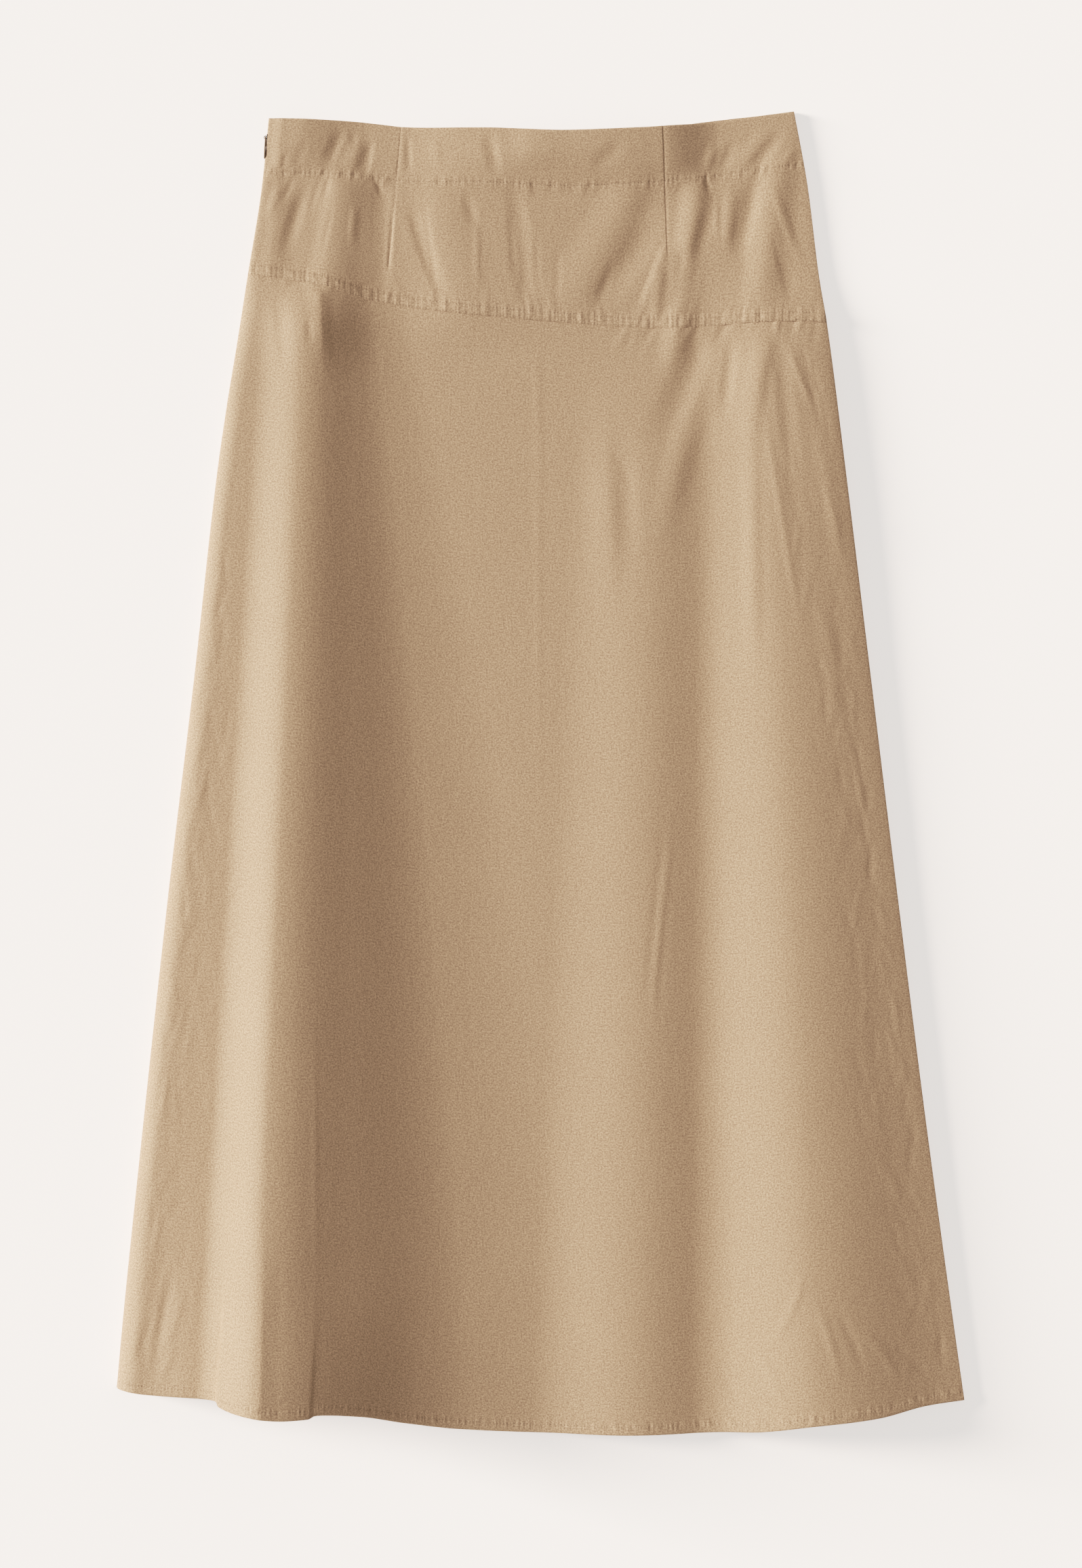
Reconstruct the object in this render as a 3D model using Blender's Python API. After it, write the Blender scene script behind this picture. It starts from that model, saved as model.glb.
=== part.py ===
"""An asymmetric A-line skirt in light cotton, laid flat on its back with its front up.

X runs across the skirt, to the right as seen from above, +Y runs to the waist, and +Z up from the surface
that the skirt lies on. The origin is on that surface, under the middle of the skirt's box.
The tables are in millimetres. `across` is how far right of the middle a place is, `down` is how far below
the highest point of the waist, and heights are above the surface. Neighbouring pieces are GAP apart.
"""

import math
from collections import namedtuple

import bmesh
import bpy
import numpy as np

MM = 0.001
LENGTH = 906.0  # highest point of the waist to the lowest point of the hem
CLOTH = 1.2  # wall of every cloth piece
GAP = 0.3
FRONT_REST = 3.0  # the front's outer face, where it lies on the back
SEAM_HEIGHT = CLOTH + GAP  # the front's side walls end this high, on the back's edge
WALL_SHARE = 0.45  # share of a side's height that stands upright before it rounds over
ROLL_STEPS = 4

# The outline. A side's lift is how much higher the front stands beside that edge.
Side = namedtuple("Side", "down left right left_lift right_lift")
SIDES = [
    Side(-3, -185.5, 173.0, 5.0, 4.0),
    Side(52, -191.0, 183.0, 5.0, 4.0),
    Side(112, -200.5, 190.5, 5.0, 4.5),
    Side(146, -205.7, 196.0, 5.0, 5.0),
    Side(240, -220.6, 208.0, 4.0, 5.5),
    Side(390, -237.5, 226.3, 3.0, 6.0),
    Side(537, -255.0, 244.3, 3.0, 6.0),
    Side(686, -271.2, 263.0, 3.0, 6.0),
    Side(825, -285.6, 282.0, 3.0, 5.5),
    Side(885, -291.0, 290.5, 3.0, 5.0),
]
LIFT_REACH = 24.0

Edge = namedtuple("Edge", "across down")
WAIST = [
    Edge(-186, 5.0),
    Edge(-130, 7.0),
    Edge(-106, 9.4),
    Edge(-94, 10.8),
    Edge(-71, 11.7),
    Edge(-36, 12.2),
    Edge(16, 14.5),
    Edge(68, 12.6),
    Edge(91, 10.7),
    Edge(115, 8.0),
    Edge(138, 4.7),
    Edge(174, 0.0),
]
YOKE_SEAM = [
    Edge(-201, 112.2),
    Edge(-176, 115.6),
    Edge(-146, 121.3),
    Edge(-117, 129.7),
    Edge(-71, 137.0),
    Edge(47, 147.2),
    Edge(77, 149.0),
    Edge(106, 148.2),
    Edge(148, 144.9),
    Edge(183, 144.3),
    Edge(197, 145.4),
]
HEM = [
    Edge(-291, 873.5),
    Edge(-268, 876.5),
    Edge(-230, 878.0),
    Edge(-220, 878.5),
    Edge(-218, 881.0),
    Edge(-200, 885.0),
    Edge(-172, 888.0),
    Edge(-157, 887.5),
    Edge(-152, 885.5),
    Edge(-123, 888.5),
    Edge(-92, 895.5),
    Edge(-55, 901.5),
    Edge(0, 905.0),
    Edge(47, 906.0),
    Edge(140, 904.0),
    Edge(185, 898.0),
    Edge(231, 893.0),
    Edge(264, 886.0),
    Edge(291, 883.0),
]
BACK_YOKE_SEAM = [Edge(-201, 112.2), Edge(-100, 122.0), Edge(100, 140.0), Edge(197, 145.4)]
BACK_HEM = [Edge(-291, 870.0), Edge(-200, 878.0), Edge(0, 899.0), Edge(120, 899.0), Edge(291, 879.0)]
BACK_WAIST_PEEK = 1.2  # the back's waist edge shows this far above the front's ...
BACK_WAIST_PEEK_MIDDLE = 112.0  # ... around this place across, and over this reach
BACK_WAIST_PEEK_REACH = 30.0

# A fold runs straight from its start to its end. `left` and `right` are how far its sides reach.
Fold = namedtuple(
    "Fold",
    "name start_across start_down end_across end_down start_rise end_rise"
    " start_left end_left start_right end_right start_fade end_fade",
)
FOLDS = [
    Fold("flute_body", -158, 120, -197, 905, 6.0, 18.0, 45, 105, 60, 215, 60, 0),
    Fold("flute_crest", -158, 135, -197, 905, 6.0, 26.0, 32, 52, 42, 140, 50, 0),
    Fold("middle_fold", 78, 230, 68, 905, 3.0, 10.0, 50, 80, 45, 60, 120, 0),
    Fold("right_fold", 157, 140, 190, 905, 6.0, 23.0, 48, 75, 65, 135, 90, 0),
    Fold("left_drag", -140, 22, -158, 105, 2.6, 3.4, 12, 16, 14, 24, 40, 40),
    Fold("left_edge_drag", -176, 60, -182, 118, 1.6, 1.6, 9, 10, 12, 14, 40, 40),
    Fold("left_dart_drag", -72, 60, -60, 130, 1.8, 1.8, 14, 22, 20, 40, 40, 50),
    Fold("right_dart_drag", 58, 40, 48, 120, 1.8, 1.8, 18, 22, 14, 26, 50, 50),
    Fold("right_slant_drag", 112, 25, 96, 118, 2.8, 3.2, 12, 14, 11, 18, 40, 50),
    Fold("right_edge_drag", 158, 30, 150, 128, 2.4, 2.8, 16, 18, 16, 22, 50, 50),
]

# Just above the hem the flute opens: a lip steps up at its left foot, and down again past its crest.
LIP_LEFT, LIP_RIGHT = -219.1, -154.0
LIP_WIDTH = 1.6
LIP_RISE, LIP_DROP = 6.0, 3.5
LIP_TAIL = 70.0  # what is left of the lip past its right step dies out over this
LIP_START, LIP_FULL = 790.0, 880.0  # down
LIP_LEAN = 0.055  # the lip's lines lean in by this much a millimetre, going up

# Columns of points on the front pieces: across places at the piece's top and bottom edge.
Column = namedtuple("Column", "name top bottom steps spacing")
SKIRT_COLUMNS = [
    Column("left_side", -200.5, -291.0, ROLL_STEPS, "roll_in"),
    Column("left_roll_end", -194.5, -283.0, 6, "even"),
    Column("flute_foot", -181.5, -219.9, 1, "even"),
    Column("flute_lip", -180.0, -218.3, 4, "even"),
    Column("flute_crest", -158.0, -197.0, 5, "even"),
    Column("flute_step", -131.0, -154.8, 1, "even"),
    Column("flute_step_foot", -129.5, -153.2, 10, "even"),
    Column("flute_end", -84.0, -20.0, 7, "even"),
    Column("middle_crest", 40.0, 68.0, 5, "even"),
    Column("dip", 95.0, 120.0, 7, "even"),
    Column("right_crest", 155.0, 190.0, 7, "even"),
    Column("right_roll_end", 188.5, 279.5, ROLL_STEPS, "roll_out"),
    Column("right_side", 196.3, 290.5, 0, "end"),
]
YOKE_COLUMNS = [
    Column("left_side", -185.9, -200.5, ROLL_STEPS, "roll_in"),
    Column("left_roll_end", -180.0, -194.5, 12, "even"),
    Column("left_dart", -95.4, -105.4, 1, "even"),
    Column("left_dart_inner", -94.0, -104.0, 16, "even"),
    Column("right_dart_inner", 82.6, 87.6, 1, "even"),
    Column("right_dart", 84.0, 89.0, 11, "even"),
    Column("right_roll_end", 166.0, 188.5, ROLL_STEPS, "roll_out"),
    Column("right_side", 173.6, 196.3, 0, "end"),
]
YOKE_ROWS = 12  # evenly spaced, down to the seam band
YOKE_DEPTH = 130.0  # about, as the seam slants
SKIRT_ROWS = 24  # evenly spaced, down to HEM_ZONE
HEM_ZONE = 0.9  # share of the panel's length
HEM_ZONE_ROWS = 5
HEM_TURN = 6.0  # depth of the turned hem
HEM_TURN_RISE = 0.4
PANEL_LENGTH = 760.0  # about, from the yoke's seam to the hem
STEP_WIDTH = 1.0  # a layer's edge, under the cloth, lifts it over this

# A dart's fold is pressed towards the middle and stands a little higher there.
Dart = namedtuple("Dart", "top_across bottom_across tip_down toward_middle")
DARTS = [Dart(-94.7, -104.7, 108.0, 1), Dart(83.3, 88.3, 104.0, -1)]
DART_RISE = 0.6
DART_REACH = 9.0
DART_FADE = 0.3  # share of a dart's length over which it runs out
SEAM_BAND = 7.0  # the allowances lie under the yoke's lower edge, between the two rows of stitching
SEAM_BAND_RISE = 0.5

BACK_COLUMNS = 12
BACK_YOKE_ROWS = 12
BACK_SKIRT_ROWS = 22

# The side zip, in the left side's seam. Its slit lies in a shallow groove, where the two edges turn in.
ZIP_END, ZIP_FADE = 195.0, 22.0  # down
ZIP_SEAM_HEIGHT = 3.8
ZIP_GROOVE = 1.2
BACK_LIP_EDGE = 0.8
BACK_LIP_INSETS = (1.2, 2.2, 2.5)
CHAIN_TOP, CHAIN_STEPS = 14.0, 16
CHAIN_INSET, CHAIN_THICKNESS = 2.9, 0.8
CHAIN_LOW, CHAIN_HIGH = 1.6, 4.6
PIVOT_DOWN = 18.0
PIVOT_OUT = 1.05  # from the skirt's edge to the pull tab's axis
PIVOT_HEIGHT = 3.65
SLIDER_TILT = math.radians(-6)  # along the skirt's edge
SLIDER_TOP, SLIDER_FOOT = 2.0, 6.0  # from the axis, up and down the chain
SLIDER_HALF_WIDTH, SLIDER_FOOT_HALF_WIDTH = 1.1, 0.9
SLIDER_FACE, SLIDER_THICKNESS = 0.75, 0.6
SLIDER_CORNER_ACROSS, SLIDER_CORNER_ALONG = 0.4, 0.5
BAIL_INNER, BAIL_OUTER, BAIL_HALF_WIDTH = 0.75, 1.15, 0.55
BAIL_STEPS = 10
TAB_LENGTH = 14.6
TAB_HALF_THICKNESS = 0.4
TAB_NECK_HALF, TAB_BELLY_HALF, TAB_TIP_HALF = 1.6, 2.1, 1.3
TAB_SHOULDER, TAB_NECK = 0.2, 3.2  # down from the axis to the neck's two ends
TAB_BELLY_TOP, TAB_BELLY_FOOT, TAB_TIP = 10.0, 12.6, 14.2
TAB_CORNER = 0.5
TAB_HOLE_TOP, TAB_HOLE_FOOT, TAB_HOLE_HALF = 0.4, 2.3, 1.0

SKIRT_TAN = (0.48, 0.34, 0.225)
ZIP_TAN = (0.30, 0.205, 0.135)
CLOTH_ROUGHNESS, TAPE_ROUGHNESS, METAL_ROUGHNESS = 0.85, 0.6, 0.4
METAL_SHARE = 0.3  # lacquered, so only partly metallic


def clear_scene():
    for old in list(bpy.data.objects):
        bpy.data.objects.remove(old, do_unlink=True)


def ease(share):
    """A smooth step from 0 to 1."""
    share = np.clip(share, 0.0, 1.0)
    return share * share * (3.0 - 2.0 * share)


def curve(rows, key, value, at):
    """A smooth curve through a table's rows that never swings past them."""
    x = np.array([getattr(row, key) for row in rows], float)
    y = np.array([getattr(row, value) for row in rows], float)
    at = np.clip(np.asarray(at, float), x[0], x[-1])
    width = np.diff(x)
    slope = np.diff(y) / width
    tangent = np.zeros_like(y)
    tangent[0], tangent[-1] = slope[0], slope[-1]
    same_way = slope[:-1] * slope[1:] > 0
    both = np.where(same_way, slope[:-1] + slope[1:], 1.0)
    tangent[1:-1] = np.where(same_way, 2.0 * slope[:-1] * slope[1:] / both, 0.0)
    span = np.clip(np.searchsorted(x, at, side="right") - 1, 0, len(x) - 2)
    s = (at - x[span]) / width[span]
    start, end = y[span], y[span + 1]
    leave, arrive = tangent[span] * width[span], tangent[span + 1] * width[span]
    return (
        start * (1 + 2 * s) * (1 - s) ** 2
        + leave * s * (1 - s) ** 2
        + end * s * s * (3 - 2 * s)
        + arrive * s * s * (s - 1)
    )


def side(name, down):
    return curve(SIDES, "down", name, down)


def line(rows, lower=0.0):
    """A function of across that gives an edge's place down, or a place that much lower."""

    def down(across):
        return curve(rows, "across", "down", across) + lower

    return down


def fold_rise(fold, across, down):
    """Height that one fold adds at each place."""
    run_across = fold.end_across - fold.start_across
    run_down = fold.end_down - fold.start_down
    length = math.hypot(run_across, run_down)
    along = ((across - fold.start_across) * run_across + (down - fold.start_down) * run_down) / length
    off = ((across - fold.start_across) * run_down - (down - fold.start_down) * run_across) / length
    share = np.clip(along / length, 0.0, 1.0)
    left = fold.start_left + (fold.end_left - fold.start_left) * share
    right = fold.start_right + (fold.end_right - fold.start_right) * share
    rise = fold.start_rise + (fold.end_rise - fold.start_rise) * share
    if fold.start_fade:
        rise = rise * ease(along / fold.start_fade + 0.5)
    if fold.end_fade:
        rise = rise * ease((length - along) / fold.end_fade + 0.5)
    reach = np.where(off < 0, left, right)
    return rise * 0.5 * (1.0 + np.cos(math.pi * np.clip(np.abs(off) / reach, 0.0, 1.0)))


def lip_rise(across, down):
    """Height that the flute's opened lip adds just above the hem."""
    lean = LIP_LEAN * (LIP_FULL - down)
    stepped_up = ease((across - LIP_LEFT - lean) / LIP_WIDTH + 0.5)
    stepped_down = ease((across - LIP_RIGHT - lean) / LIP_WIDTH + 0.5)
    tail = 1.0 - ease((across - LIP_RIGHT - lean) / LIP_TAIL)
    rise = LIP_RISE * stepped_up - LIP_DROP * stepped_down
    return rise * tail * ease((down - LIP_START) / (LIP_FULL - LIP_START))


def front_height(across, down):
    """The front's outer face above the surface, before its sides roll down."""
    from_left = across - side("left", down)
    from_right = side("right", down) - across
    height = FRONT_REST + side("left_lift", down) * np.exp(-((from_left / LIFT_REACH) ** 2))
    height = height + side("right_lift", down) * np.exp(-((from_right / LIFT_REACH) ** 2))
    for fold in FOLDS:
        height = height + fold_rise(fold, across, down)
    return height + lip_rise(across, down)


def dart_rise(across, down):
    """Height that the pressed darts add to the yoke."""
    height = np.zeros_like(across)
    for dart in DARTS:
        share = np.clip(down / dart.tip_down, 0.0, 1.0)
        line = dart.top_across + (dart.bottom_across - dart.top_across) * share
        inward = (across - line) * dart.toward_middle
        inside = np.where(inward > 0, 1.0 - ease(inward / DART_REACH), 0.0)
        running_out = (down / dart.tip_down - 1.0 + DART_FADE) / DART_FADE
        height = height + DART_RISE * inside * (1.0 - ease(running_out))
    return height


def zip_share(down):
    """1 along the zip, 0 below it."""
    return 1.0 - ease((down - ZIP_END) / ZIP_FADE)


def stations(columns):
    """Top place, bottom place and share of the full height for each column of points."""
    found = []
    for here, after in zip(columns, columns[1:]):
        for step in range(here.steps):
            share = step / here.steps
            turn = 0.5 * math.pi * share
            rise = 1.0
            if here.spacing == "roll_in":
                share, rise = 1.0 - math.cos(turn), math.sin(turn)
            elif here.spacing == "roll_out":
                share, rise = math.sin(turn), math.cos(turn)
            top = here.top + (after.top - here.top) * share
            bottom = here.bottom + (after.bottom - here.bottom) * share
            found.append((top, bottom, WALL_SHARE + (1.0 - WALL_SHARE) * rise))
    found.append((columns[-1].top, columns[-1].bottom, WALL_SHARE))
    first, last = found[0], found[-1]
    found = [(*first[:2], 0.0), *found, (*last[:2], 0.0)]
    return [np.array(values) for values in zip(*found)]


def plan(top_across, bottom_across, top_down, bottom_down, shares):
    """Across and down of a panel's points, between its top and bottom edges and the skirt's two sides."""
    t = np.array(shares)[:, None]
    across = (1 - t) * top_across + t * bottom_across
    down = (1 - t) * top_down + t * bottom_down
    from_left = (top_across - top_across[0]) / (top_across[-1] - top_across[0])
    left_bow = side("left", down[:, :1]) - across[:, :1]
    right_bow = side("right", down[:, -1:]) - across[:, -1:]
    return across + (1 - from_left) * left_bow + from_left * right_bow, down


def front_points(columns, top, bottom, shares, extra):
    """The outer face of a front piece as rows of points in metres. `extra` is height that only it has."""
    top_across, bottom_across, roll = stations(columns)
    across, down = plan(top_across, bottom_across, top(top_across), bottom(bottom_across), shares)
    is_left = np.arange(len(roll)) < len(roll) // 2
    seam = SEAM_HEIGHT + np.where(is_left, (ZIP_SEAM_HEIGHT - SEAM_HEIGHT) * zip_share(down), 0.0)
    full = front_height(across, down) + extra(across, down)
    height = seam + (full - seam) * roll
    across[:, 0] += ZIP_GROOVE * zip_share(down[:, 0])
    return np.stack([across, LENGTH / 2 - down, height], axis=-1) * MM


def material(name, colour, roughness, metallic=0.0):
    made = bpy.data.materials.new(name)
    made.use_nodes = True
    shader = made.node_tree.nodes["Principled BSDF"]
    shader.inputs["Base Color"].default_value = (*colour, 1.0)
    shader.inputs["Roughness"].default_value = roughness
    shader.inputs["Metallic"].default_value = metallic
    made.diffuse_color = (*colour, 1.0)
    return made


def add_object(name, mesh_maker, finish):
    """A named object at the origin, from a bmesh."""
    mesh = bpy.data.meshes.new(name)
    mesh_maker.to_mesh(mesh)
    mesh_maker.free()
    made = bpy.data.objects.new(name, mesh)
    bpy.context.scene.collection.objects.link(made)
    mesh.materials.append(finish)
    mesh.shade_smooth()
    mesh.set_sharp_from_angle(angle=math.radians(35))
    return made


def add_grid(made, points, turned=False):
    """Adds a grid of faces, looking up unless turned, and gives its vertices back as rows."""
    rows = [[made.verts.new(point) for point in row] for row in points]
    for upper, lower in zip(rows, rows[1:]):
        for a, b, c, d in zip(upper, upper[1:], lower[1:], lower):
            made.faces.new((a, b, c, d) if turned else (a, d, c, b))
    return rows


def border(rows):
    """The vertices round a grid, in order."""
    right = [row[-1] for row in rows[1:-1]]
    left = [row[0] for row in rows[1:-1]]
    return rows[0] + right + rows[-1][::-1] + left[::-1]


def cloth_front(name, points, finish):
    """A front piece: its outer face with a wall of cloth under it."""
    made = bmesh.new()
    add_grid(made, points)
    panel = add_object(name, made, finish)
    wall = panel.modifiers.new("cloth", "SOLIDIFY")
    wall.thickness = CLOTH * MM
    wall.offset = -1.0
    return panel


def cloth_back(name, across, down, height, finish):
    """A back piece: flat underneath, with its upper face at the given heights."""
    under = np.stack([across, LENGTH / 2 - down, np.zeros_like(across)], axis=-1) * MM
    upper = np.stack([across, LENGTH / 2 - down, height], axis=-1) * MM
    made = bmesh.new()
    top_rows = add_grid(made, upper)
    under_rows = add_grid(made, under, turned=True)
    rim = list(zip(border(top_rows), border(under_rows)))
    for (a, b), (c, d) in zip(rim, rim[1:] + rim[:1]):
        made.faces.new((a, c, d, b))
    return add_object(name, made, finish)


def back_grid(top, bottom, rows):
    """Across, down and height of a back piece's upper face, with the lip that the zip's slit needs."""
    top_ends = [side_at_edge(name, top) for name in ("left", "right")]
    bottom_ends = [side_at_edge(name, bottom) for name in ("left", "right")]
    insets = np.array([0.0, *BACK_LIP_INSETS])
    columns = []
    for left, right in (top_ends, bottom_ends):
        inner = np.linspace(left + BACK_LIP_INSETS[-1], right, BACK_COLUMNS + 1)[1:]
        columns.append(np.concatenate([left + insets, inner]))
    shares = np.linspace(0.0, 1.0, rows + 1)
    across, down = plan(*columns, top(columns[0]), bottom(columns[1]), shares)
    on_zip = zip_share(down)
    height = np.full_like(across, CLOTH)
    height[:, 0] += (BACK_LIP_EDGE - CLOTH) * on_zip[:, 0]
    height[:, 1:3] += (ZIP_SEAM_HEIGHT - GAP - CLOTH) * on_zip[:, 1:3]
    return across, down, height


def side_at_edge(name, top):
    """Across place where a side meets a piece's top or bottom edge."""
    across = side(name, 0.0)
    for _ in range(8):
        across = side(name, top(across))
    return float(across)


def extruded(made, outline, low, high):
    """Adds a closed outline of (x, y) points, in metres, extruded along Z."""
    floor = [made.verts.new((x, y, low)) for x, y in outline]
    roof = [made.verts.new((x, y, high)) for x, y in outline]
    made.faces.new(floor[::-1])
    made.faces.new(roof)
    for a, b, c, d in zip(floor, floor[1:] + floor[:1], roof[1:] + roof[:1], roof):
        made.faces.new((a, b, c, d))


def facing_out(made):
    bmesh.ops.recalc_face_normals(made, faces=made.faces)
    return made


def mirrored(half_outline):
    """A whole outline from its right half, listed from the top down."""
    return half_outline + [(-x, y) for x, y in reversed(half_outline)]


def standing(outline, inner, outer):
    """A plate whose (across the chain, along the chain) outline stands upright between two distances out."""
    made = bmesh.new()
    extruded(made, [(x * MM, y * MM) for x, y in outline], inner * MM, outer * MM)
    for vertex in made.verts:
        across_chain, along, out = vertex.co
        vertex.co = (out, along, across_chain)
    return facing_out(made)


def cut_or_join(target, other, operation):
    """Applies a Boolean to the target's mesh, and removes the other object."""
    change = target.modifiers.new(operation.lower(), "BOOLEAN")
    change.operation = operation
    change.object = other
    bpy.context.view_layer.update()
    graph = bpy.context.evaluated_depsgraph_get()
    mesh = bpy.data.meshes.new_from_object(target.evaluated_get(graph))
    target.modifiers.clear()
    target.data = mesh
    bpy.data.objects.remove(other, do_unlink=True)


def cotton(name):
    return material(name + "_cotton", SKIRT_TAN, CLOTH_ROUGHNESS)


def step_rows(at, length):
    """Shares of a piece's length just before and just after a step in its height."""
    half = 0.5 * STEP_WIDTH / length
    return at - half, at + half


def make_front_yoke():
    """The front yoke, with its darts and the band where the seam's allowances lie under it."""
    seam = line(YOKE_SEAM)

    def extra(across, down):
        band = SEAM_BAND_RISE * ease((down - seam(across) + SEAM_BAND) / STEP_WIDTH + 0.5)
        return band + dart_rise(across, down)

    before, after = step_rows(1.0 - SEAM_BAND / YOKE_DEPTH, YOKE_DEPTH)
    shares = [*np.linspace(0.0, before, YOKE_ROWS + 1), after, 1.0]
    points = front_points(YOKE_COLUMNS, line(WAIST), seam, shares, extra)
    cloth_front("front_yoke", points, cotton("front_yoke"))


def make_front_skirt():
    """The front skirt panel, from the yoke's seam to the turned hem."""
    hem = line(HEM)

    def extra(across, down):
        return HEM_TURN_RISE * ease((down - hem(across) + HEM_TURN) / STEP_WIDTH + 0.5)

    before, after = step_rows(1.0 - HEM_TURN / PANEL_LENGTH, PANEL_LENGTH)
    shares = [
        *np.linspace(0.0, HEM_ZONE, SKIRT_ROWS, endpoint=False),
        *np.linspace(HEM_ZONE, before, HEM_ZONE_ROWS),
        after,
        1.0,
    ]
    points = front_points(SKIRT_COLUMNS, line(YOKE_SEAM, GAP), hem, shares, extra)
    cloth_front("front_skirt", points, cotton("front_skirt"))


def make_back():
    """The back yoke and the back skirt panel, flat on the surface."""

    def waist(across):
        peek = np.exp(-(((across - BACK_WAIST_PEEK_MIDDLE) / BACK_WAIST_PEEK_REACH) ** 2))
        return curve(WAIST, "across", "down", across) - BACK_WAIST_PEEK * peek

    yoke = back_grid(waist, line(BACK_YOKE_SEAM), BACK_YOKE_ROWS)
    skirt = back_grid(line(BACK_YOKE_SEAM, GAP), line(BACK_HEM), BACK_SKIRT_ROWS)
    cloth_back("back_yoke", *yoke, cotton("back_yoke"))
    cloth_back("back_skirt", *skirt, cotton("back_skirt"))


def make_chain():
    """The closed chain and tape, a flat strip that follows the skirt's left edge behind the slit."""
    down = np.linspace(CHAIN_TOP, ZIP_END, CHAIN_STEPS + 1)
    outer = side("left", down) + CHAIN_INSET
    made = bmesh.new()
    rings = []
    for x, y in zip(outer, LENGTH / 2 - down):
        corners = [(x, CHAIN_LOW), (x + CHAIN_THICKNESS, CHAIN_LOW)]
        corners += [(x + CHAIN_THICKNESS, CHAIN_HIGH), (x, CHAIN_HIGH)]
        rings.append([made.verts.new((cx * MM, y * MM, cz * MM)) for cx, cz in corners])
    for upper, lower in zip(rings, rings[1:]):
        for i in range(4):
            made.faces.new((upper[i], upper[i - 3], lower[i - 3], lower[i]))
    made.faces.new(rings[0])
    made.faces.new(rings[-1][::-1])
    add_object("zip_chain", facing_out(made), material("zip_chain_tape", ZIP_TAN, TAPE_ROUGHNESS))


def add_pivot():
    """An empty on the pull tab's axis, turned to lie along the skirt's edge. -X points out of the skirt."""
    pivot = bpy.data.objects.new("zip_pull_axis", None)
    bpy.context.scene.collection.objects.link(pivot)
    out = float(side("left", PIVOT_DOWN)) - PIVOT_OUT
    pivot.location = (out * MM, (LENGTH / 2 - PIVOT_DOWN) * MM, PIVOT_HEIGHT * MM)
    pivot.rotation_euler = (0.0, 0.0, SLIDER_TILT)
    return pivot


def make_slider(pivot):
    """The slider's plate with the bail that holds the tab."""
    finish = material("zip_slider_metal", ZIP_TAN, METAL_ROUGHNESS, METAL_SHARE)
    wide, foot = SLIDER_HALF_WIDTH, SLIDER_FOOT_HALF_WIDTH
    half_outline = [
        (wide - SLIDER_CORNER_ACROSS, SLIDER_TOP),
        (wide, SLIDER_TOP - SLIDER_CORNER_ALONG),
        (wide, -SLIDER_FOOT / 2),
        (foot, -SLIDER_FOOT + SLIDER_CORNER_ALONG),
        (foot - SLIDER_CORNER_ACROSS, -SLIDER_FOOT),
    ]
    plate = standing(mirrored(half_outline), SLIDER_FACE, SLIDER_FACE + SLIDER_THICKNESS)
    slider = add_object("zip_slider", plate, finish)
    root = SLIDER_FACE + SLIDER_THICKNESS / 2
    turns = [math.radians(90 + 180 * step / BAIL_STEPS) for step in range(BAIL_STEPS + 1)]
    bow = [(root, BAIL_OUTER)]
    bow += [(BAIL_OUTER * math.cos(turn), BAIL_OUTER * math.sin(turn)) for turn in turns]
    bow += [(root, -BAIL_OUTER), (root, -BAIL_INNER)]
    bow += [(BAIL_INNER * math.cos(turn), BAIL_INNER * math.sin(turn)) for turn in reversed(turns)]
    bow += [(root, BAIL_INNER)]
    made = bmesh.new()
    extruded(made, [(x * MM, y * MM) for x, y in bow], -BAIL_HALF_WIDTH * MM, BAIL_HALF_WIDTH * MM)
    bail = add_object("zip_bail", facing_out(made), finish)
    cut_or_join(slider, bail, "UNION")
    slider.parent = pivot


def make_tab(pivot):
    """The pull tab: a slim teardrop with a slot at its top for the bail. Its bar turns on the pivot."""
    finish = material("zip_pull_metal", ZIP_TAN, METAL_ROUGHNESS, METAL_SHARE)
    half_outline = [
        (TAB_NECK_HALF - TAB_CORNER, TAB_HALF_THICKNESS),
        (TAB_NECK_HALF, -TAB_SHOULDER),
        (TAB_NECK_HALF, -TAB_NECK),
        (TAB_BELLY_HALF, -TAB_BELLY_TOP),
        (TAB_BELLY_HALF, -TAB_BELLY_FOOT),
        (TAB_TIP_HALF, -TAB_TIP),
        (TAB_TIP_HALF - TAB_CORNER, -TAB_LENGTH),
    ]
    plate = standing(mirrored(half_outline), -TAB_HALF_THICKNESS, TAB_HALF_THICKNESS)
    tab = add_object("zip_pull", plate, finish)
    slot = mirrored([(TAB_HOLE_HALF, -TAB_HOLE_TOP), (TAB_HOLE_HALF, -TAB_HOLE_FOOT)])
    deep = 2.0 * TAB_HALF_THICKNESS
    cutter = add_object("zip_pull_slot", standing(slot, -deep, deep), finish)
    cut_or_join(tab, cutter, "DIFFERENCE")
    tab.parent = pivot


clear_scene()
make_front_yoke()
make_front_skirt()
make_back()
make_chain()
zip_pivot = add_pivot()
make_slider(zip_pivot)
make_tab(zip_pivot)
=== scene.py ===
"""An asymmetric A-line skirt in washed cotton, laid out flat with its front up.

`across` is millimetres right of the skirt's middle, `down` is millimetres below the highest point of its
waist, and heights are millimetres above the surface that it lies on.
"""

import math
from collections import namedtuple

import bmesh
import bpy
import numpy as np
from mathutils import Matrix, Vector


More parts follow.
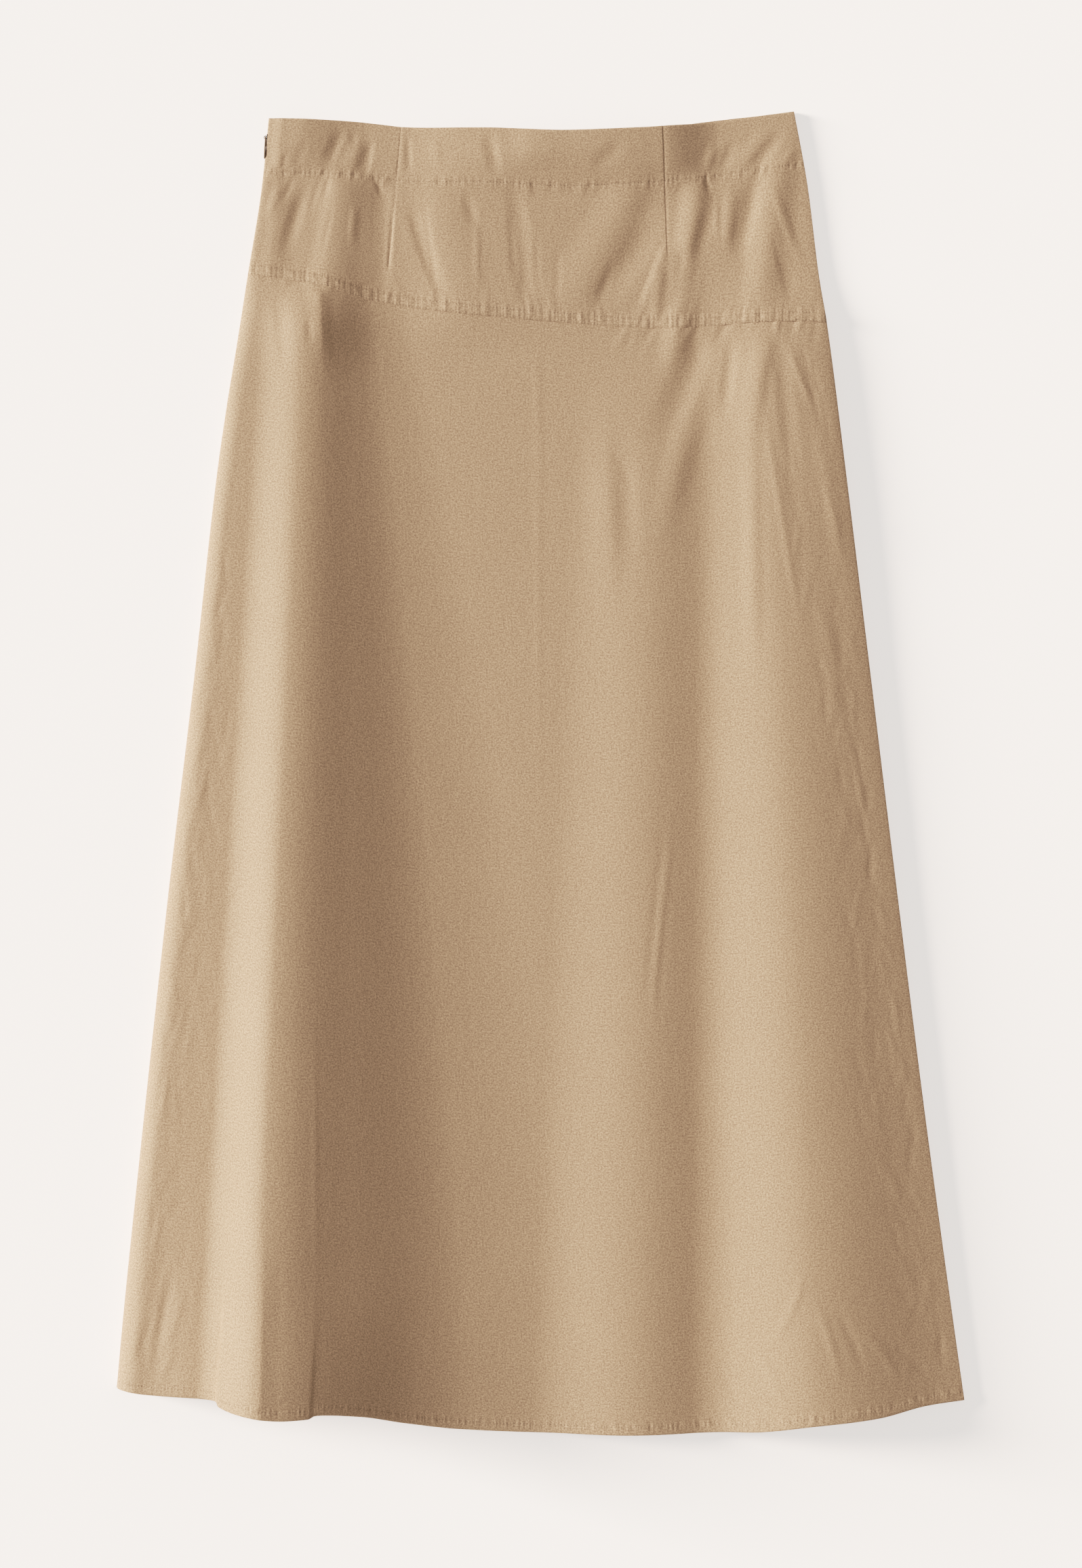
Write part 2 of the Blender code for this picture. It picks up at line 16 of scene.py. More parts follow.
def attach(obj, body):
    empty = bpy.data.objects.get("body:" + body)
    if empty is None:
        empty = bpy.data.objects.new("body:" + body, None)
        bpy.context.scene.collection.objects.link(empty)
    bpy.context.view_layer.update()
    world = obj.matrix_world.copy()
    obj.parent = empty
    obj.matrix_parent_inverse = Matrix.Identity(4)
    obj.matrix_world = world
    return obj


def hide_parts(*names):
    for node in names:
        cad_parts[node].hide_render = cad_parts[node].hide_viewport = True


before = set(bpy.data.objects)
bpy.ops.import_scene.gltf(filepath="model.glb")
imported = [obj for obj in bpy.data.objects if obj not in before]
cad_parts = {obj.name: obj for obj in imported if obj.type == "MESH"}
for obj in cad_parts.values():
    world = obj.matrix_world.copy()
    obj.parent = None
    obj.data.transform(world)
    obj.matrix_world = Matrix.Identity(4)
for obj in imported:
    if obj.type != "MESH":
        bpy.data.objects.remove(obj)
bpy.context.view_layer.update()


# The front skirt panel, cut in one from the yoke's seam to the turned hem, in washed plain-weave cotton.
# It is sewn to the yoke above and to the back panel at both sides. It lies on the back panel and stands up
# from it in three flutes, the one at image left much the largest.
MM = 0.001
LENGTH = 906.0
CLOTH = 0.5
FRONT_REST = 3.0
SIDE_EDGE = 1.15
WALL_SHARE, RIGHT_WALL_SHARE = 0.3, 0.87

Side = namedtuple("Side", "down left right left_lift right_lift")
SIDES = [
    Side(-3, -185.5, 173.0, 2.3, 0.4),
    Side(52, -191.0, 183.0, 2.8, 0.4),
    Side(112, -200.5, 190.5, 3.0, 0.8),
    Side(146, -205.7, 196.0, 2.2, 2.0),
    Side(240, -220.6, 208.0, 1.8, 2.2),
    Side(390, -237.5, 226.3, 1.6, 1.2),
    Side(537, -255.0, 244.3, 1.6, 0.6),
    Side(686, -271.2, 263.0, 1.6, 0.3),
    Side(825, -285.6, 282.0, 1.6, 0.0),
    Side(885, -291.0, 290.5, 1.6, 0.0),
]
LIFT_REACH = 24.0

Edge = namedtuple("Edge", "across down")
YOKE_SEAM = [
    Edge(-201, 112.2),
    Edge(-176, 115.6),
    Edge(-146, 121.3),
    Edge(-117, 129.7),
    Edge(-71, 137.0),
    Edge(47, 147.2),
    Edge(77, 149.0),
    Edge(106, 148.2),
    Edge(148, 144.9),
    Edge(183, 144.3),
    Edge(197, 145.4),
]
HEM = [
    Edge(-291, 873.5),
    Edge(-268, 876.5),
    Edge(-230, 878.0),
    Edge(-220, 878.5),
    Edge(-218, 881.0),
    Edge(-200, 885.0),
    Edge(-172, 888.0),
    Edge(-157, 887.5),
    Edge(-152, 885.5),
    Edge(-123, 888.5),
    Edge(-92, 895.5),
    Edge(-55, 901.5),
    Edge(0, 905.0),
    Edge(47, 906.0),
    Edge(140, 904.0),
    Edge(185, 898.0),
    Edge(231, 893.0),
    Edge(264, 886.0),
    Edge(291, 883.0),
]

# The flutes and the yoke's drag folds. `left` and `right` are how far a fold's sides reach.
Fold = namedtuple(
    "Fold",
    "name start_across start_down end_across end_down start_rise end_rise"
    " start_left end_left start_right end_right start_fade end_fade",
)
FOLDS = [
    Fold("flute_body", -160, 120, -190, 905, 8.0, 24.5, 104, 260, 66, 232, 60, 0),
    Fold("flute_crest", -160, 135, -192.5, 905, 4.6, 23.5, 32, 44, 44, 150, 50, 0),
    Fold("flute_shoulder", -160, 135, -190, 905, 1.2, 4.0, 32, 44, 30, 62, 50, 0),
    Fold("middle_fold", 74, 210, 65, 905, 3.5, 9.5, 52, 72, 44, 70, 120, 0),
    Fold("right_fold", 155, 140, 192, 905, 6.0, 21.5, 44, 90, 58, 120, 90, 0),
    Fold("left_drag", -137, 42, -152, 165, 3.2, 3.8, 50, 60, 32, 42, 30, 60),
    Fold("left_drag_crest", -137, 44, -148, 122, 1.6, 1.6, 12, 15, 29, 31, 24, 40),
    Fold("left_edge_drag", -178, 56, -186, 118, 1.2, 1.0, 10, 11, 15, 16, 24, 40),
    Fold("left_dart_drag", -72, 60, -60, 130, 1.0, 1.0, 14, 22, 20, 40, 40, 50),
    Fold("middle_swell", -56, -8, -46, 150, 2.8, 2.8, 46, 52, 130, 130, 0, 40),
    Fold("waist_arch", 16, -8, 18, 42, 7.5, 7.5, 120, 120, 115, 115, 0, 36),
    Fold("right_dart_drag", 66, 50, 22, 130, 1.9, 1.5, 22, 26, 16, 22, 40, 40),
    Fold("right_dart_swell", 83, 2, 89, 50, 6.4, 5.0, 110, 100, 43, 32, 10, 36),
    Fold("right_slant_drag", 108, 48, 91, 170, 2.3, 2.2, 14, 14, 12, 17, 24, 40),
    Fold("right_edge_drag", 164, 30, 151, 128, 2.2, 2.8, 16, 18, 16, 22, 50, 50),
]
WIDENING = 0.88
LIP_LEFT, LIP_RIGHT = -219.1, -154.0
LIP_WIDTH, LIP_DROP_WIDTH = 1.6, 3.2
LIP_RISE, LIP_DROP = 6.0, 0.8
LIP_TAIL = 70.0
LIP_START, LIP_FULL = 790.0, 880.0
LIP_LEAN = 0.055


def ease(share):
    """A smooth step from 0 to 1."""
    share = np.clip(share, 0.0, 1.0)
    return share * share * (3.0 - 2.0 * share)


def curve(rows, key, value, at):
    """A smooth curve through a table's rows that never swings past them."""
    x = np.array([getattr(row, key) for row in rows], float)
    y = np.array([getattr(row, value) for row in rows], float)
    at = np.clip(np.asarray(at, float), x[0], x[-1])
    width = np.diff(x)
    slope = np.diff(y) / width
    tangent = np.zeros_like(y)
    tangent[0], tangent[-1] = slope[0], slope[-1]
    same_way = slope[:-1] * slope[1:] > 0
    both = np.where(same_way, slope[:-1] + slope[1:], 1.0)
    tangent[1:-1] = np.where(same_way, 2.0 * slope[:-1] * slope[1:] / both, 0.0)
    span = np.clip(np.searchsorted(x, at, side="right") - 1, 0, len(x) - 2)
    s = (at - x[span]) / width[span]
    start, end = y[span], y[span + 1]
    leave, arrive = tangent[span] * width[span], tangent[span + 1] * width[span]
    return (
        start * (1 + 2 * s) * (1 - s) ** 2
        + leave * s * (1 - s) ** 2
        + end * s * s * (3 - 2 * s)
        + arrive * s * s * (s - 1)
    )


def side(name, down):
    return curve(SIDES, "down", name, down)


def line(rows, lower=0.0):
    """A function of across that gives an edge's place down, or a place that much lower."""

    def down(across):
        return curve(rows, "across", "down", across) + lower

    return down


def between(start, end, share):
    return start + (end - start) * share


def hump(share):
    """1 where the share is 0, falling smoothly to 0 where it is 1."""
    return 0.5 * (1.0 + np.cos(math.pi * share))


def from_stroke(stroke, across, down):
    """The length of a fold or crease, and how far each place is along it and off it, to its right."""
    run_across, run_down = stroke.end_across - stroke.start_across, stroke.end_down - stroke.start_down
    length = math.hypot(run_across, run_down)
    from_start, below_start = across - stroke.start_across, down - stroke.start_down
    along = (from_start * run_across + below_start * run_down) / length
    return length, along, (from_start * run_down - below_start * run_across) / length


def fold_rise(fold, across, down):
    """Height that one fold adds at each place."""
    length, along, off = from_stroke(fold, across, down)
    share = np.clip(along / length, 0.0, 1.0)
    left = between(fold.start_left, fold.end_left, share**WIDENING)
    right = between(fold.start_right, fold.end_right, share**WIDENING)
    rise = between(fold.start_rise, fold.end_rise, share)
    if fold.start_fade:
        rise = rise * ease(along / fold.start_fade + 0.5)
    if fold.end_fade:
        rise = rise * ease((length - along) / fold.end_fade + 0.5)
    return rise * hump(np.clip(np.abs(off) / np.where(off < 0, left, right), 0.0, 1.0))


def lip_rise(across, down):
    """Height that the left flute's opened lip adds just above the hem."""
    lean = LIP_LEAN * (LIP_FULL - down)
    stepped_up = ease((across - LIP_LEFT - lean) / LIP_WIDTH + 0.5)
    stepped_down = ease((across - LIP_RIGHT - lean) / LIP_DROP_WIDTH + 0.5)
    tail = 1.0 - ease((across - LIP_RIGHT - lean) / LIP_TAIL)
    rise = LIP_RISE * stepped_up - LIP_DROP * stepped_down
    return rise * tail * ease((down - LIP_START) / (LIP_FULL - LIP_START))


# Creases are smaller: a ridge, or a trough where the rise is negative. `bend` bows one sideways at its
# middle, `sharp` is 0 for a soft round top and 1 for a tent, and the fades are shares of its length.
Crease = namedtuple(
    "Crease",
    "start_across start_down end_across end_down rise left right bend sharp start_fade end_fade",
    defaults=(0.0, 0.0, 0.4, 0.4),
)


TENT_POWER = 1.6


def crease_rise(crease, across, down):
    """Height that one crease adds at each place."""
    length, along, off = from_stroke(crease, across, down)
    share = along / length
    side_reach = crease.left + crease.right + abs(crease.bend)
    near = (share > -0.01) & (share < 1.01) & (np.abs(off) < side_reach)
    height = np.zeros_like(across)
    share, off = share[near], off[near]
    off = off - crease.bend * 4.0 * share * (1.0 - share)
    away = np.clip(np.abs(off) / np.where(off < 0, crease.left, crease.right), 0.0, 1.0)
    fade = ease(share / crease.start_fade) * ease((1.0 - share) / crease.end_fade)
    height[near] = crease.rise * fade * between(hump(away), (1.0 - away) ** TENT_POWER, crease.sharp)
    return height


SKIRT_CREASES = [
    Crease(-151, 121, -147, 190, 1.3, 10, 9, 0, 0.7, 0.1, 0.7),
    Crease(-158, 142, -157, 163, -0.5, 4, 4),
    Crease(-179, 120, -174, 185, -0.6, 7, 9),
    Crease(110, 148, 70, 240, -1.6, 17, 13, 6, 0, 0.2, 0.6),
    Crease(116, 180, 82, 310, 1.4, 14, 14, -5, 0, 0.5, 0.6),
    Crease(132, 150, 125, 215, -1.0, 7, 7),
    Crease(157, 146, 143, 250, 1.2, 14, 9, -3, 0, 0.3, 0.6),
    Crease(144, 200, 146, 400, 0.8, 10, 8),
    Crease(162, 146, 180, 330, -0.7, 8, 9, 0, 0, 0.2, 0.7),
    Crease(150, 190, 180, 371, 0.45, 5, 5, 0, 0.5),
    Crease(168, 158, 186, 206, 0.5, 4, 4, 0, 0.3),
    Crease(176, 150, 194, 226, -0.3, 4, 4, 0, 0.2),
    Crease(188, 205, 207, 320, 0.45, 8, 9),
    Crease(190, 320, 208, 450, 0.45, 8, 8),
    Crease(43, 195, 50, 360, 1.1, 19, 10, 0, 0, 0.5, 0.6),
    Crease(58, 210, 62, 330, -0.6, 9, 10, 0, 0, 0.5, 0.5),
    Crease(46, 227, 66, 265, -0.25, 3, 3),
    Crease(52, 240, 70, 256, -0.2, 3, 3),
    Crease(-2, 150, -1, 520, 0.35, 2.5, 2.5, 0, 0.8, 0.1, 0.6),
    Crease(91, 470, 74, 640, 0.45, 4, 4, 0, 0.3, 0.5, 0.5),
    Crease(86, 468, 69, 641, -0.25, 4, 4),
    Crease(86, 520, 80, 636, -0.2, 4, 4),
    Crease(180.5, 789, 156, 844, 0.6, 5, 3, 4),
    Crease(-250, 785, -265.6, 872, -0.7, 5, 6),
    Crease(-186, 740, -188, 900, 1.4, 14, 12, 0, 1, 0.6, 0.02),
    Crease(-226, 720, -236, 906, 3.0, 38, 38, 0, 0, 0.9, 0.01),
    Crease(-153, 590, -151, 830, 0.15, 4, 3),
    Crease(-240, 800, -256, 850, 0.4, 3, 4),
    Crease(-262, 815, -274, 858, -0.4, 4, 3),
    Crease(-246, 838, -260, 868, 0.4, 3, 4),
    Crease(182, 806, 204, 872, 0.5, 4, 5, 3),
    Crease(196, 812, 222, 868, -0.5, 4, 4, 3),
    Crease(214, 830, 246, 872, 0.5, 5, 4, 4),
    Crease(236, 842, 268, 868, -0.4, 4, 4, 2),
    Crease(146, 846, 168, 884, 0.4, 4, 4),
    Crease(120, 858, 138, 888, -0.35, 4, 4),
]


PUCKER_LENGTHS, PUCKER_STEPS, PUCKER_BENDS = (16, 44), (7, 17), (-1.5, 1.5)
PUCKER_STARTS, PUCKER_ENDS, PUCKER_RISES = (0.5, 1.3), (0.4, 1.2), (0.3, 1.0)
PUCKER_LEFT, PUCKER_RIGHT = 3.5, 4.0


def side_puckers(name, inward, first, last, rise, seed):
    """Short upright creases that a side's seam draws in the cloth beside it."""
    random = np.random.default_rng(seed)
    toward_middle = 1 if name == "left" else -1
    puckers, down = [], first
    while down < last:
        foot = down + random.uniform(*PUCKER_LENGTHS)
        near = float(side(name, down)) + toward_middle * inward * random.uniform(*PUCKER_STARTS)
        far = float(side(name, foot)) + toward_middle * inward * random.uniform(*PUCKER_ENDS)
        height = rise * random.uniform(*PUCKER_RISES) * random.choice([1, -1])
        bend = random.uniform(*PUCKER_BENDS)
        puckers.append(Crease(near, down, far, foot, height, PUCKER_LEFT, PUCKER_RIGHT, bend))
        down += random.uniform(*PUCKER_STEPS)
    return puckers


SKIRT_CREASES += side_puckers("left", 15, 300, 850, 0.34, 71)
SKIRT_CREASES += side_puckers("left", 30, 380, 850, 0.26, 72)
SKIRT_CREASES += side_puckers("left", 46, 470, 840, 0.20, 75)
SKIRT_CREASES += side_puckers("right", 17, 170, 850, 0.28, 73)
SKIRT_CREASES += side_puckers("right", 38, 220, 850, 0.24, 74)


def front_height(across, down):
    """The front's outer face above the surface, before its sides roll down."""
    from_left, from_right = across - side("left", down), side("right", down) - across
    height = FRONT_REST + lip_rise(across, down)
    for name, from_side in [("left_lift", from_left), ("right_lift", from_right)]:
        height = height + side(name, down) * np.exp(-((from_side / LIFT_REACH) ** 2))
    for fold in FOLDS:
        height = height + fold_rise(fold, across, down)
    return height


# A row of stitches draws the cloth up into gathers, each with its own width, height, reach and slant.
Gather = namedtuple("Gather", "name first last spacing rise above below slant seed")


GATHER_WIDTHS, GATHER_RISES, GATHER_STEPS = (0.45, 0.9), (0.25, 1.0), (0.6, 1.5)
GATHER_REACHES, GATHER_SLANT = (0.35, 1.0), 0.25


def gather_rise(gather, row, across, down):
    """Height of the gathers along a row of stitches, whose place down is row(across)."""
    random = np.random.default_rng(gather.seed)
    off = down - row(across)
    height = np.zeros_like(across)
    place = gather.first
    while place < gather.last:
        width = gather.spacing * random.uniform(*GATHER_WIDTHS)
        rise = gather.rise * random.uniform(*GATHER_RISES) * random.choice([1.0, 1.0, -0.7])
        above = gather.above * random.uniform(*GATHER_REACHES) ** 1.5
        below = gather.below * random.uniform(*GATHER_REACHES) ** 1.5
        slant = gather.slant + random.uniform(-GATHER_SLANT, GATHER_SLANT)
        sideways = np.abs(across - place + slant * off) / width
        reach = np.abs(off) / np.where(off < 0, above, below)
        near = (sideways < 1.0) & (reach < 1.0)
        height[near] += rise * hump(sideways[near]) * (1.0 - reach[near] ** 1.5) ** 2
        place += gather.spacing * random.uniform(*GATHER_STEPS)
    return height


def ditch(off, width, depth):
    """The narrow dip that a row of stitches, or a seam, pulls in the cloth."""
    return -depth * np.exp(-((off / width) ** 2))


def finer(height, across, down, creases, gathers, one_way=False):
    """A height with creases and gathers added. Each group of gathers comes with its row of stitches."""
    for crease in creases:
        height = height + crease_rise(crease, across, down)
    for group, row in gathers:
        for gather in group:
            rise = gather_rise(gather, row, across, down)
            height = height + (np.abs(rise) if one_way else rise)
    return height


HEM_TURN = 5.6
HEM_TURN_RISE, HEM_TURN_WALL, HEM_STEP = 0.35, 0.55, 0.8
HEM_ROUND, HEM_ROUND_DROP = 1.2, 0.5
STITCH_DITCH_WIDTH, STITCH_DITCH_DEPTH = 0.8, 0.14
HEM_GATHERS = [
    Gather("hem_left", -288, -190, 4.2, 0.5, 7, 7, 0.5, 11),
    Gather("hem_middle", -180, 40, 7.0, 0.18, 7, 7, 0.2, 12),
    Gather("hem_right", 40, 150, 4.0, 0.5, 9, 7, -0.5, 13),
    Gather("hem_end", 150, 289, 4.6, 0.55, 11, 7, -0.4, 14),
]
SEAM_FOOT_GATHERS = [
    Gather("below_seam_left", -196, -110, 9.0, 0.5, 6, 26, 0.1, 21),
    Gather("below_seam_middle", -110, 60, 12.0, 0.15, 6, 20, 0.0, 22),
    Gather("below_seam_right", 60, 194, 7.5, 0.7, 6, 34, 0.35, 23),
]

yoke_seam, hem = line(YOKE_SEAM), line(HEM)
hem_stitches = line(HEM, -HEM_TURN)


def hem_step(from_hem):
    """1 on the hem's turned edge, 0 above it."""
    return ease(1.0 - (from_hem - HEM_TURN) / HEM_STEP)


def skirt_height(across, down):
    """The front skirt panel's outer face."""
    gathers = [(HEM_GATHERS, hem_stitches), (SEAM_FOOT_GATHERS, yoke_seam)]
    height = finer(front_height(across, down), across, down, SKIRT_CREASES, gathers)
    from_hem = hem(across) - down
    height = height + HEM_TURN_RISE * hem_step(from_hem)
    height = height + ditch(from_hem - HEM_TURN, STITCH_DITCH_WIDTH, STITCH_DITCH_DEPTH)
    return height - HEM_ROUND_DROP * np.clip(1.0 - from_hem / HEM_ROUND, 0.0, 1.0) ** 2


# Columns of points, by their places across at the piece's top and bottom edge. They follow the folds, and
# close up where the cloth turns.
Column = namedtuple("Column", "name top bottom steps spacing")
SKIRT_COLUMNS = [
    Column("left_side", -200.5, -291.0, 13, "roll_in"),
    Column("left_roll_end", -191.0, -276.0, 38, "even"),
    Column("flute_foot", -181.5, -219.9, 4, "even"),
    Column("flute_lip", -180.0, -218.3, 20, "even"),
    Column("flute_crest", -160.0, -190.0, 26, "even"),
    Column("flute_step", -131.0, -154.8, 4, "even"),
    Column("flute_step_foot", -129.5, -153.2, 56, "even"),
    Column("flute_end", -84.0, -20.0, 48, "even"),
    Column("middle_crest", 40.0, 68.0, 30, "even"),
    Column("dip", 95.0, 120.0, 42, "even"),
    Column("right_crest", 155.0, 190.0, 46, "even"),
    Column("right_roll_end", 188.5, 279.5, 12, "roll_out"),
    Column("right_side", 196.3, 290.5, 0, "end"),
]


def stations(columns):
    """Top place, bottom place and share of the full height for each column of points."""
    found = []
    for here, after in zip(columns, columns[1:]):
        wall_share = RIGHT_WALL_SHARE if here.spacing == "roll_out" else WALL_SHARE
        for step in range(here.steps):
            share = step / here.steps
            turn = 0.5 * math.pi * share
            rise = 1.0
            if here.spacing == "roll_in":
                share, rise = 1.0 - math.cos(turn), math.sin(turn)
            elif here.spacing == "roll_out":
                share, rise = math.sin(turn), math.cos(turn)
            top, bottom = between(here.top, after.top, share), between(here.bottom, after.bottom, share)
            found.append((top, bottom, between(wall_share, 1.0, rise)))
    found.append((columns[-1].top, columns[-1].bottom, RIGHT_WALL_SHARE))
    left, right = found[0][:2], found[-1][:2]
    found = [(*left, part * WALL_SHARE) for part in (0.0, 0.5)] + found
    found += [(*right, part * RIGHT_WALL_SHARE) for part in (0.67, 0.33, 0.0)]
    if len(found) % 2 == 0:
        half = len(found) // 2
        found.insert(half, tuple(np.mean(found[half - 1 : half + 1], axis=0)))
    return [np.array(values) for values in zip(*found)]


def panel_length(columns, top, bottom):
    """How far down it is from a panel's top edge to its bottom edge, along each column."""
    top_across, bottom_across, _ = stations(columns)
    return bottom(bottom_across) - top(top_across)


def plan(top_across, bottom_across, top, bottom, t):
    """Across and down of a panel's points, between its own top and bottom and the skirt's sides."""
    across = between(top_across, bottom_across, t)
    down = between(top(top_across), bottom(bottom_across), t)
    from_left = (top_across - top_across[0]) / (top_across[-1] - top_across[0])
    left_bow = side("left", down[:, :1]) - across[:, :1]
    right_bow = side("right", down[:, -1:]) - across[:, -1:]
    return across + between(left_bow, right_bow, from_left), down


# The zip's slit lies in a shallow groove in the left side's seam.
ZIP_END, ZIP_FADE = 195.0, 22.0
ZIP_EDGE = 3.8
ZIP_GROOVE = 1.2
SLIT_EDGE_SHARE = 0.3  # of the cloth's thickness, where the front's left edge turns in


def zip_share(down):
    """1 along the zip, 0 below it."""
    return 1.0 - ease((down - ZIP_END) / ZIP_FADE)


def front_points(columns, top, bottom, shares, height_at):
    """The outer face of a front piece as rows of points in metres, rolled down at both sides."""
    top_across, bottom_across, roll = stations(columns)
    across, down = plan(top_across, bottom_across, top, bottom, shares)
    is_left = np.arange(len(roll)) < len(roll) // 2
    edge = SIDE_EDGE + np.where(is_left, (ZIP_EDGE - SIDE_EDGE) * zip_share(down), 0.0)
    height = edge + (height_at(across, down) - edge) * roll
    across[:, 0] += ZIP_GROOVE * zip_share(down[:, 0])
    return metres(across, down, height)


def metres(across, down, height):
    """Points in the part's own frame."""
    return np.stack(np.broadcast_arrays(across, LENGTH / 2 - down, height), axis=-1) * MM


def plan_of(points):
    """Across and down of points that are given in metres."""
    return points[..., 0] / MM, LENGTH / 2 - points[..., 1] / MM


def spaced(first, last, spacing):
    """Places from first to last, about that far apart."""
    return np.linspace(first, last, max(2, round(abs(last - first) / spacing) + 1)).tolist()


def row_shares(length, from_top, middle_rows, from_bottom):
    """Shares of the columns' lengths for a panel's rows, at set distances at both edges, even between."""
    top = np.array(from_top)[:, None] / length
    bottom = 1.0 - np.array(from_bottom)[:, None] / length
    middle_rows += (len(from_top) + middle_rows + len(from_bottom) + 1) % 2
    between = np.linspace(0.0, 1.0, middle_rows + 2)[1:-1, None]
    return np.concatenate([top, top[-1] + (bottom[0] - top[-1]) * between, bottom])


def grid_normals(points):
    normal = np.cross(*np.gradient(points, axis=(0, 1)))
    return normal / np.maximum(np.linalg.norm(normal, axis=-1, keepdims=True), 1e-12)


def grid_faces(rows, columns, first):
    """Quads of a grid that looks up, as rows of vertex numbers."""
    corner = first + np.arange(rows - 1)[:, None] * columns + np.arange(columns - 1)
    quads = np.stack([corner, corner + columns, corner + columns + 1, corner + 1], axis=-1)
    return quads.reshape(-1, 4)


def loop_round(rows, columns, first):
    """Vertex numbers round a grid's border, clockwise as seen from above."""
    at = first + np.arange(rows * columns).reshape(rows, columns)
    return np.concatenate([at[0], at[1:, -1], at[-1, -2::-1], at[-2:0:-1, 0]])


CLOTH_SHARP = math.radians(50)


def new_piece(name, vertices, faces, finish):
    """A smooth piece from its points and faces."""
    mesh = bpy.data.meshes.new(name)
    mesh.from_pydata(vertices, [], faces)
    mesh.materials.append(finish)
    mesh.shade_smooth()
    piece = bpy.data.objects.new(name, mesh)
    bpy.context.scene.collection.objects.link(piece)
    return piece


def cloth_shell(name, points, thickness, maps, finish):
    """A thin closed shell of cloth under a grid of points. Its inner face has half the rows and columns."""
    rows, columns = points.shape[:2]
    inner = (points - grid_normals(points) * thickness[..., None])[::2, ::2]
    vertices = np.concatenate([points.reshape(-1, 3), inner.reshape(-1, 3)])
    outer_count = rows * columns
    inner_rows, inner_columns = inner.shape[:2]
    faces = grid_faces(rows, columns, 0).tolist()
    faces += grid_faces(inner_rows, inner_columns, outer_count)[:, ::-1].tolist()
    outer_rim = loop_round(rows, columns, 0)
    inner_rim = loop_round(inner_rows, inner_columns, outer_count)
    for step in range(len(inner_rim)):
        a, b = inner_rim[step], inner_rim[(step + 1) % len(inner_rim)]
        p, q, r = (outer_rim[(2 * step + extra) % len(outer_rim)] for extra in range(3))
        faces.append([int(v) for v in (a, p, q, r, b)])
    piece = new_piece(name, vertices, faces, finish)
    mesh = piece.data
    corner = np.zeros(len(mesh.loops), int)
    mesh.loops.foreach_get("vertex_index", corner)
    for map_name, values in maps.items():
        both = np.concatenate([values.reshape(-1, 2), values[::2, ::2].reshape(-1, 2)])
        uv = both[corner].astype(np.float32).ravel()
        mesh.uv_layers.new(name=map_name).uv.foreach_set("vector", uv)
    mesh.validate()
    mesh.set_sharp_from_angle(angle=CLOTH_SHARP)
    return piece


def run(points, axis):
    """Metres along the cloth from the grid's first row or column."""
    steps = np.linalg.norm(np.diff(points, axis=axis, prepend=points.take([0], axis=axis)), axis=-1)
    return np.cumsum(steps, axis=axis)


def cloth_map(points):
    """Metres along the cloth from its middle column and its top row, for the weave."""
    u, v = run(points, 1), run(points, 0)
    middle = points.shape[1] // 2
    return np.stack([u - u[:, middle : middle + 1], v[:, middle : middle + 1] + 0.0 * u], axis=-1)


def row_map(points, row):
    """Metres along a row of stitches, and metres down from it."""
    across, down = plan_of(points)
    return np.stack([across * MM, (down - row(across)) * MM], axis=-1)


class Wire:
    """An output of a shader's node. Arithmetic on it adds Math nodes, and `node` adds any other."""

    def __init__(self, tree, socket=None):
        self.tree, self.socket = tree, socket

    def fill(self, node, values):
        """Put numbers or wires into a node's sockets."""
        for name, value in values.items():
            if isinstance(value, Wire):
                self.tree.links.new(value.socket, node.inputs[name])
            else:
                node.inputs[name].default_value = value

    def node(self, kind, values, output=0, **settings):
        """A node with its settings, and with numbers or wires in the sockets that are named."""
        made = self.tree.nodes.new("ShaderNode" + kind)
        for name, value in settings.items():
            setattr(made, name, value)
        self.fill(made, values)
        return Wire(self.tree, made.outputs[output])

    def math(self, operation, first, second=0.0):
        return self.node("Math", {0: first, 1: second}, operation=operation)

    def noise(self, vector, scale, detail, roughness=0.5):
        values = {"Vector": vector, "Scale": scale, "Detail": detail, "Roughness": roughness}
        return self.node("TexNoise", values)

    def mix(self, share, low, high):
        """A colour between two, each a wire or three numbers."""
        low, high = (end if isinstance(end, Wire) else (*end, 1.0) for end in (low, high))
        return self.node("Mix", {"Factor": share, 6: low, 7: high}, 2, data_type="RGBA")

    def map(self, name):
        """The place in one of the piece's maps."""
        return self.node("UVMap", {}, uv_map=name)

    def parts(self):
        """The first two numbers of a place."""
        outputs = self.node("SeparateXYZ", {0: self}).socket.node.outputs
        return Wire(self.tree, outputs[0]), Wire(self.tree, outputs[1])

    def bump(self, strength, distance):
        """This wire as the relief of the finish."""
        return self.node("Bump", {"Strength": strength, "Distance": distance, "Height": self})

    def shade(self, values):
        """Put numbers or wires into the finish's own shader."""
        self.fill(self.tree.nodes["Principled BSDF"], values)

    def __add__(self, other):
        return self.math("ADD", self, other)

    def __sub__(self, other):
        return self.math("SUBTRACT", self, other)

    def __rsub__(self, other):
        return self.math("SUBTRACT", other, self)

    def __mul__(self, other):
        return self.math("MULTIPLY", self, other)

    def __truediv__(self, other):
        return self.math("DIVIDE", self, other)

    __radd__, __rmul__ = __add__, __mul__


def new_finish(name):
    """A new finish, and the wire that its nodes are made from."""
    finish = bpy.data.materials.new(name)
    finish.use_nodes = True
    return finish, Wire(finish.node_tree)


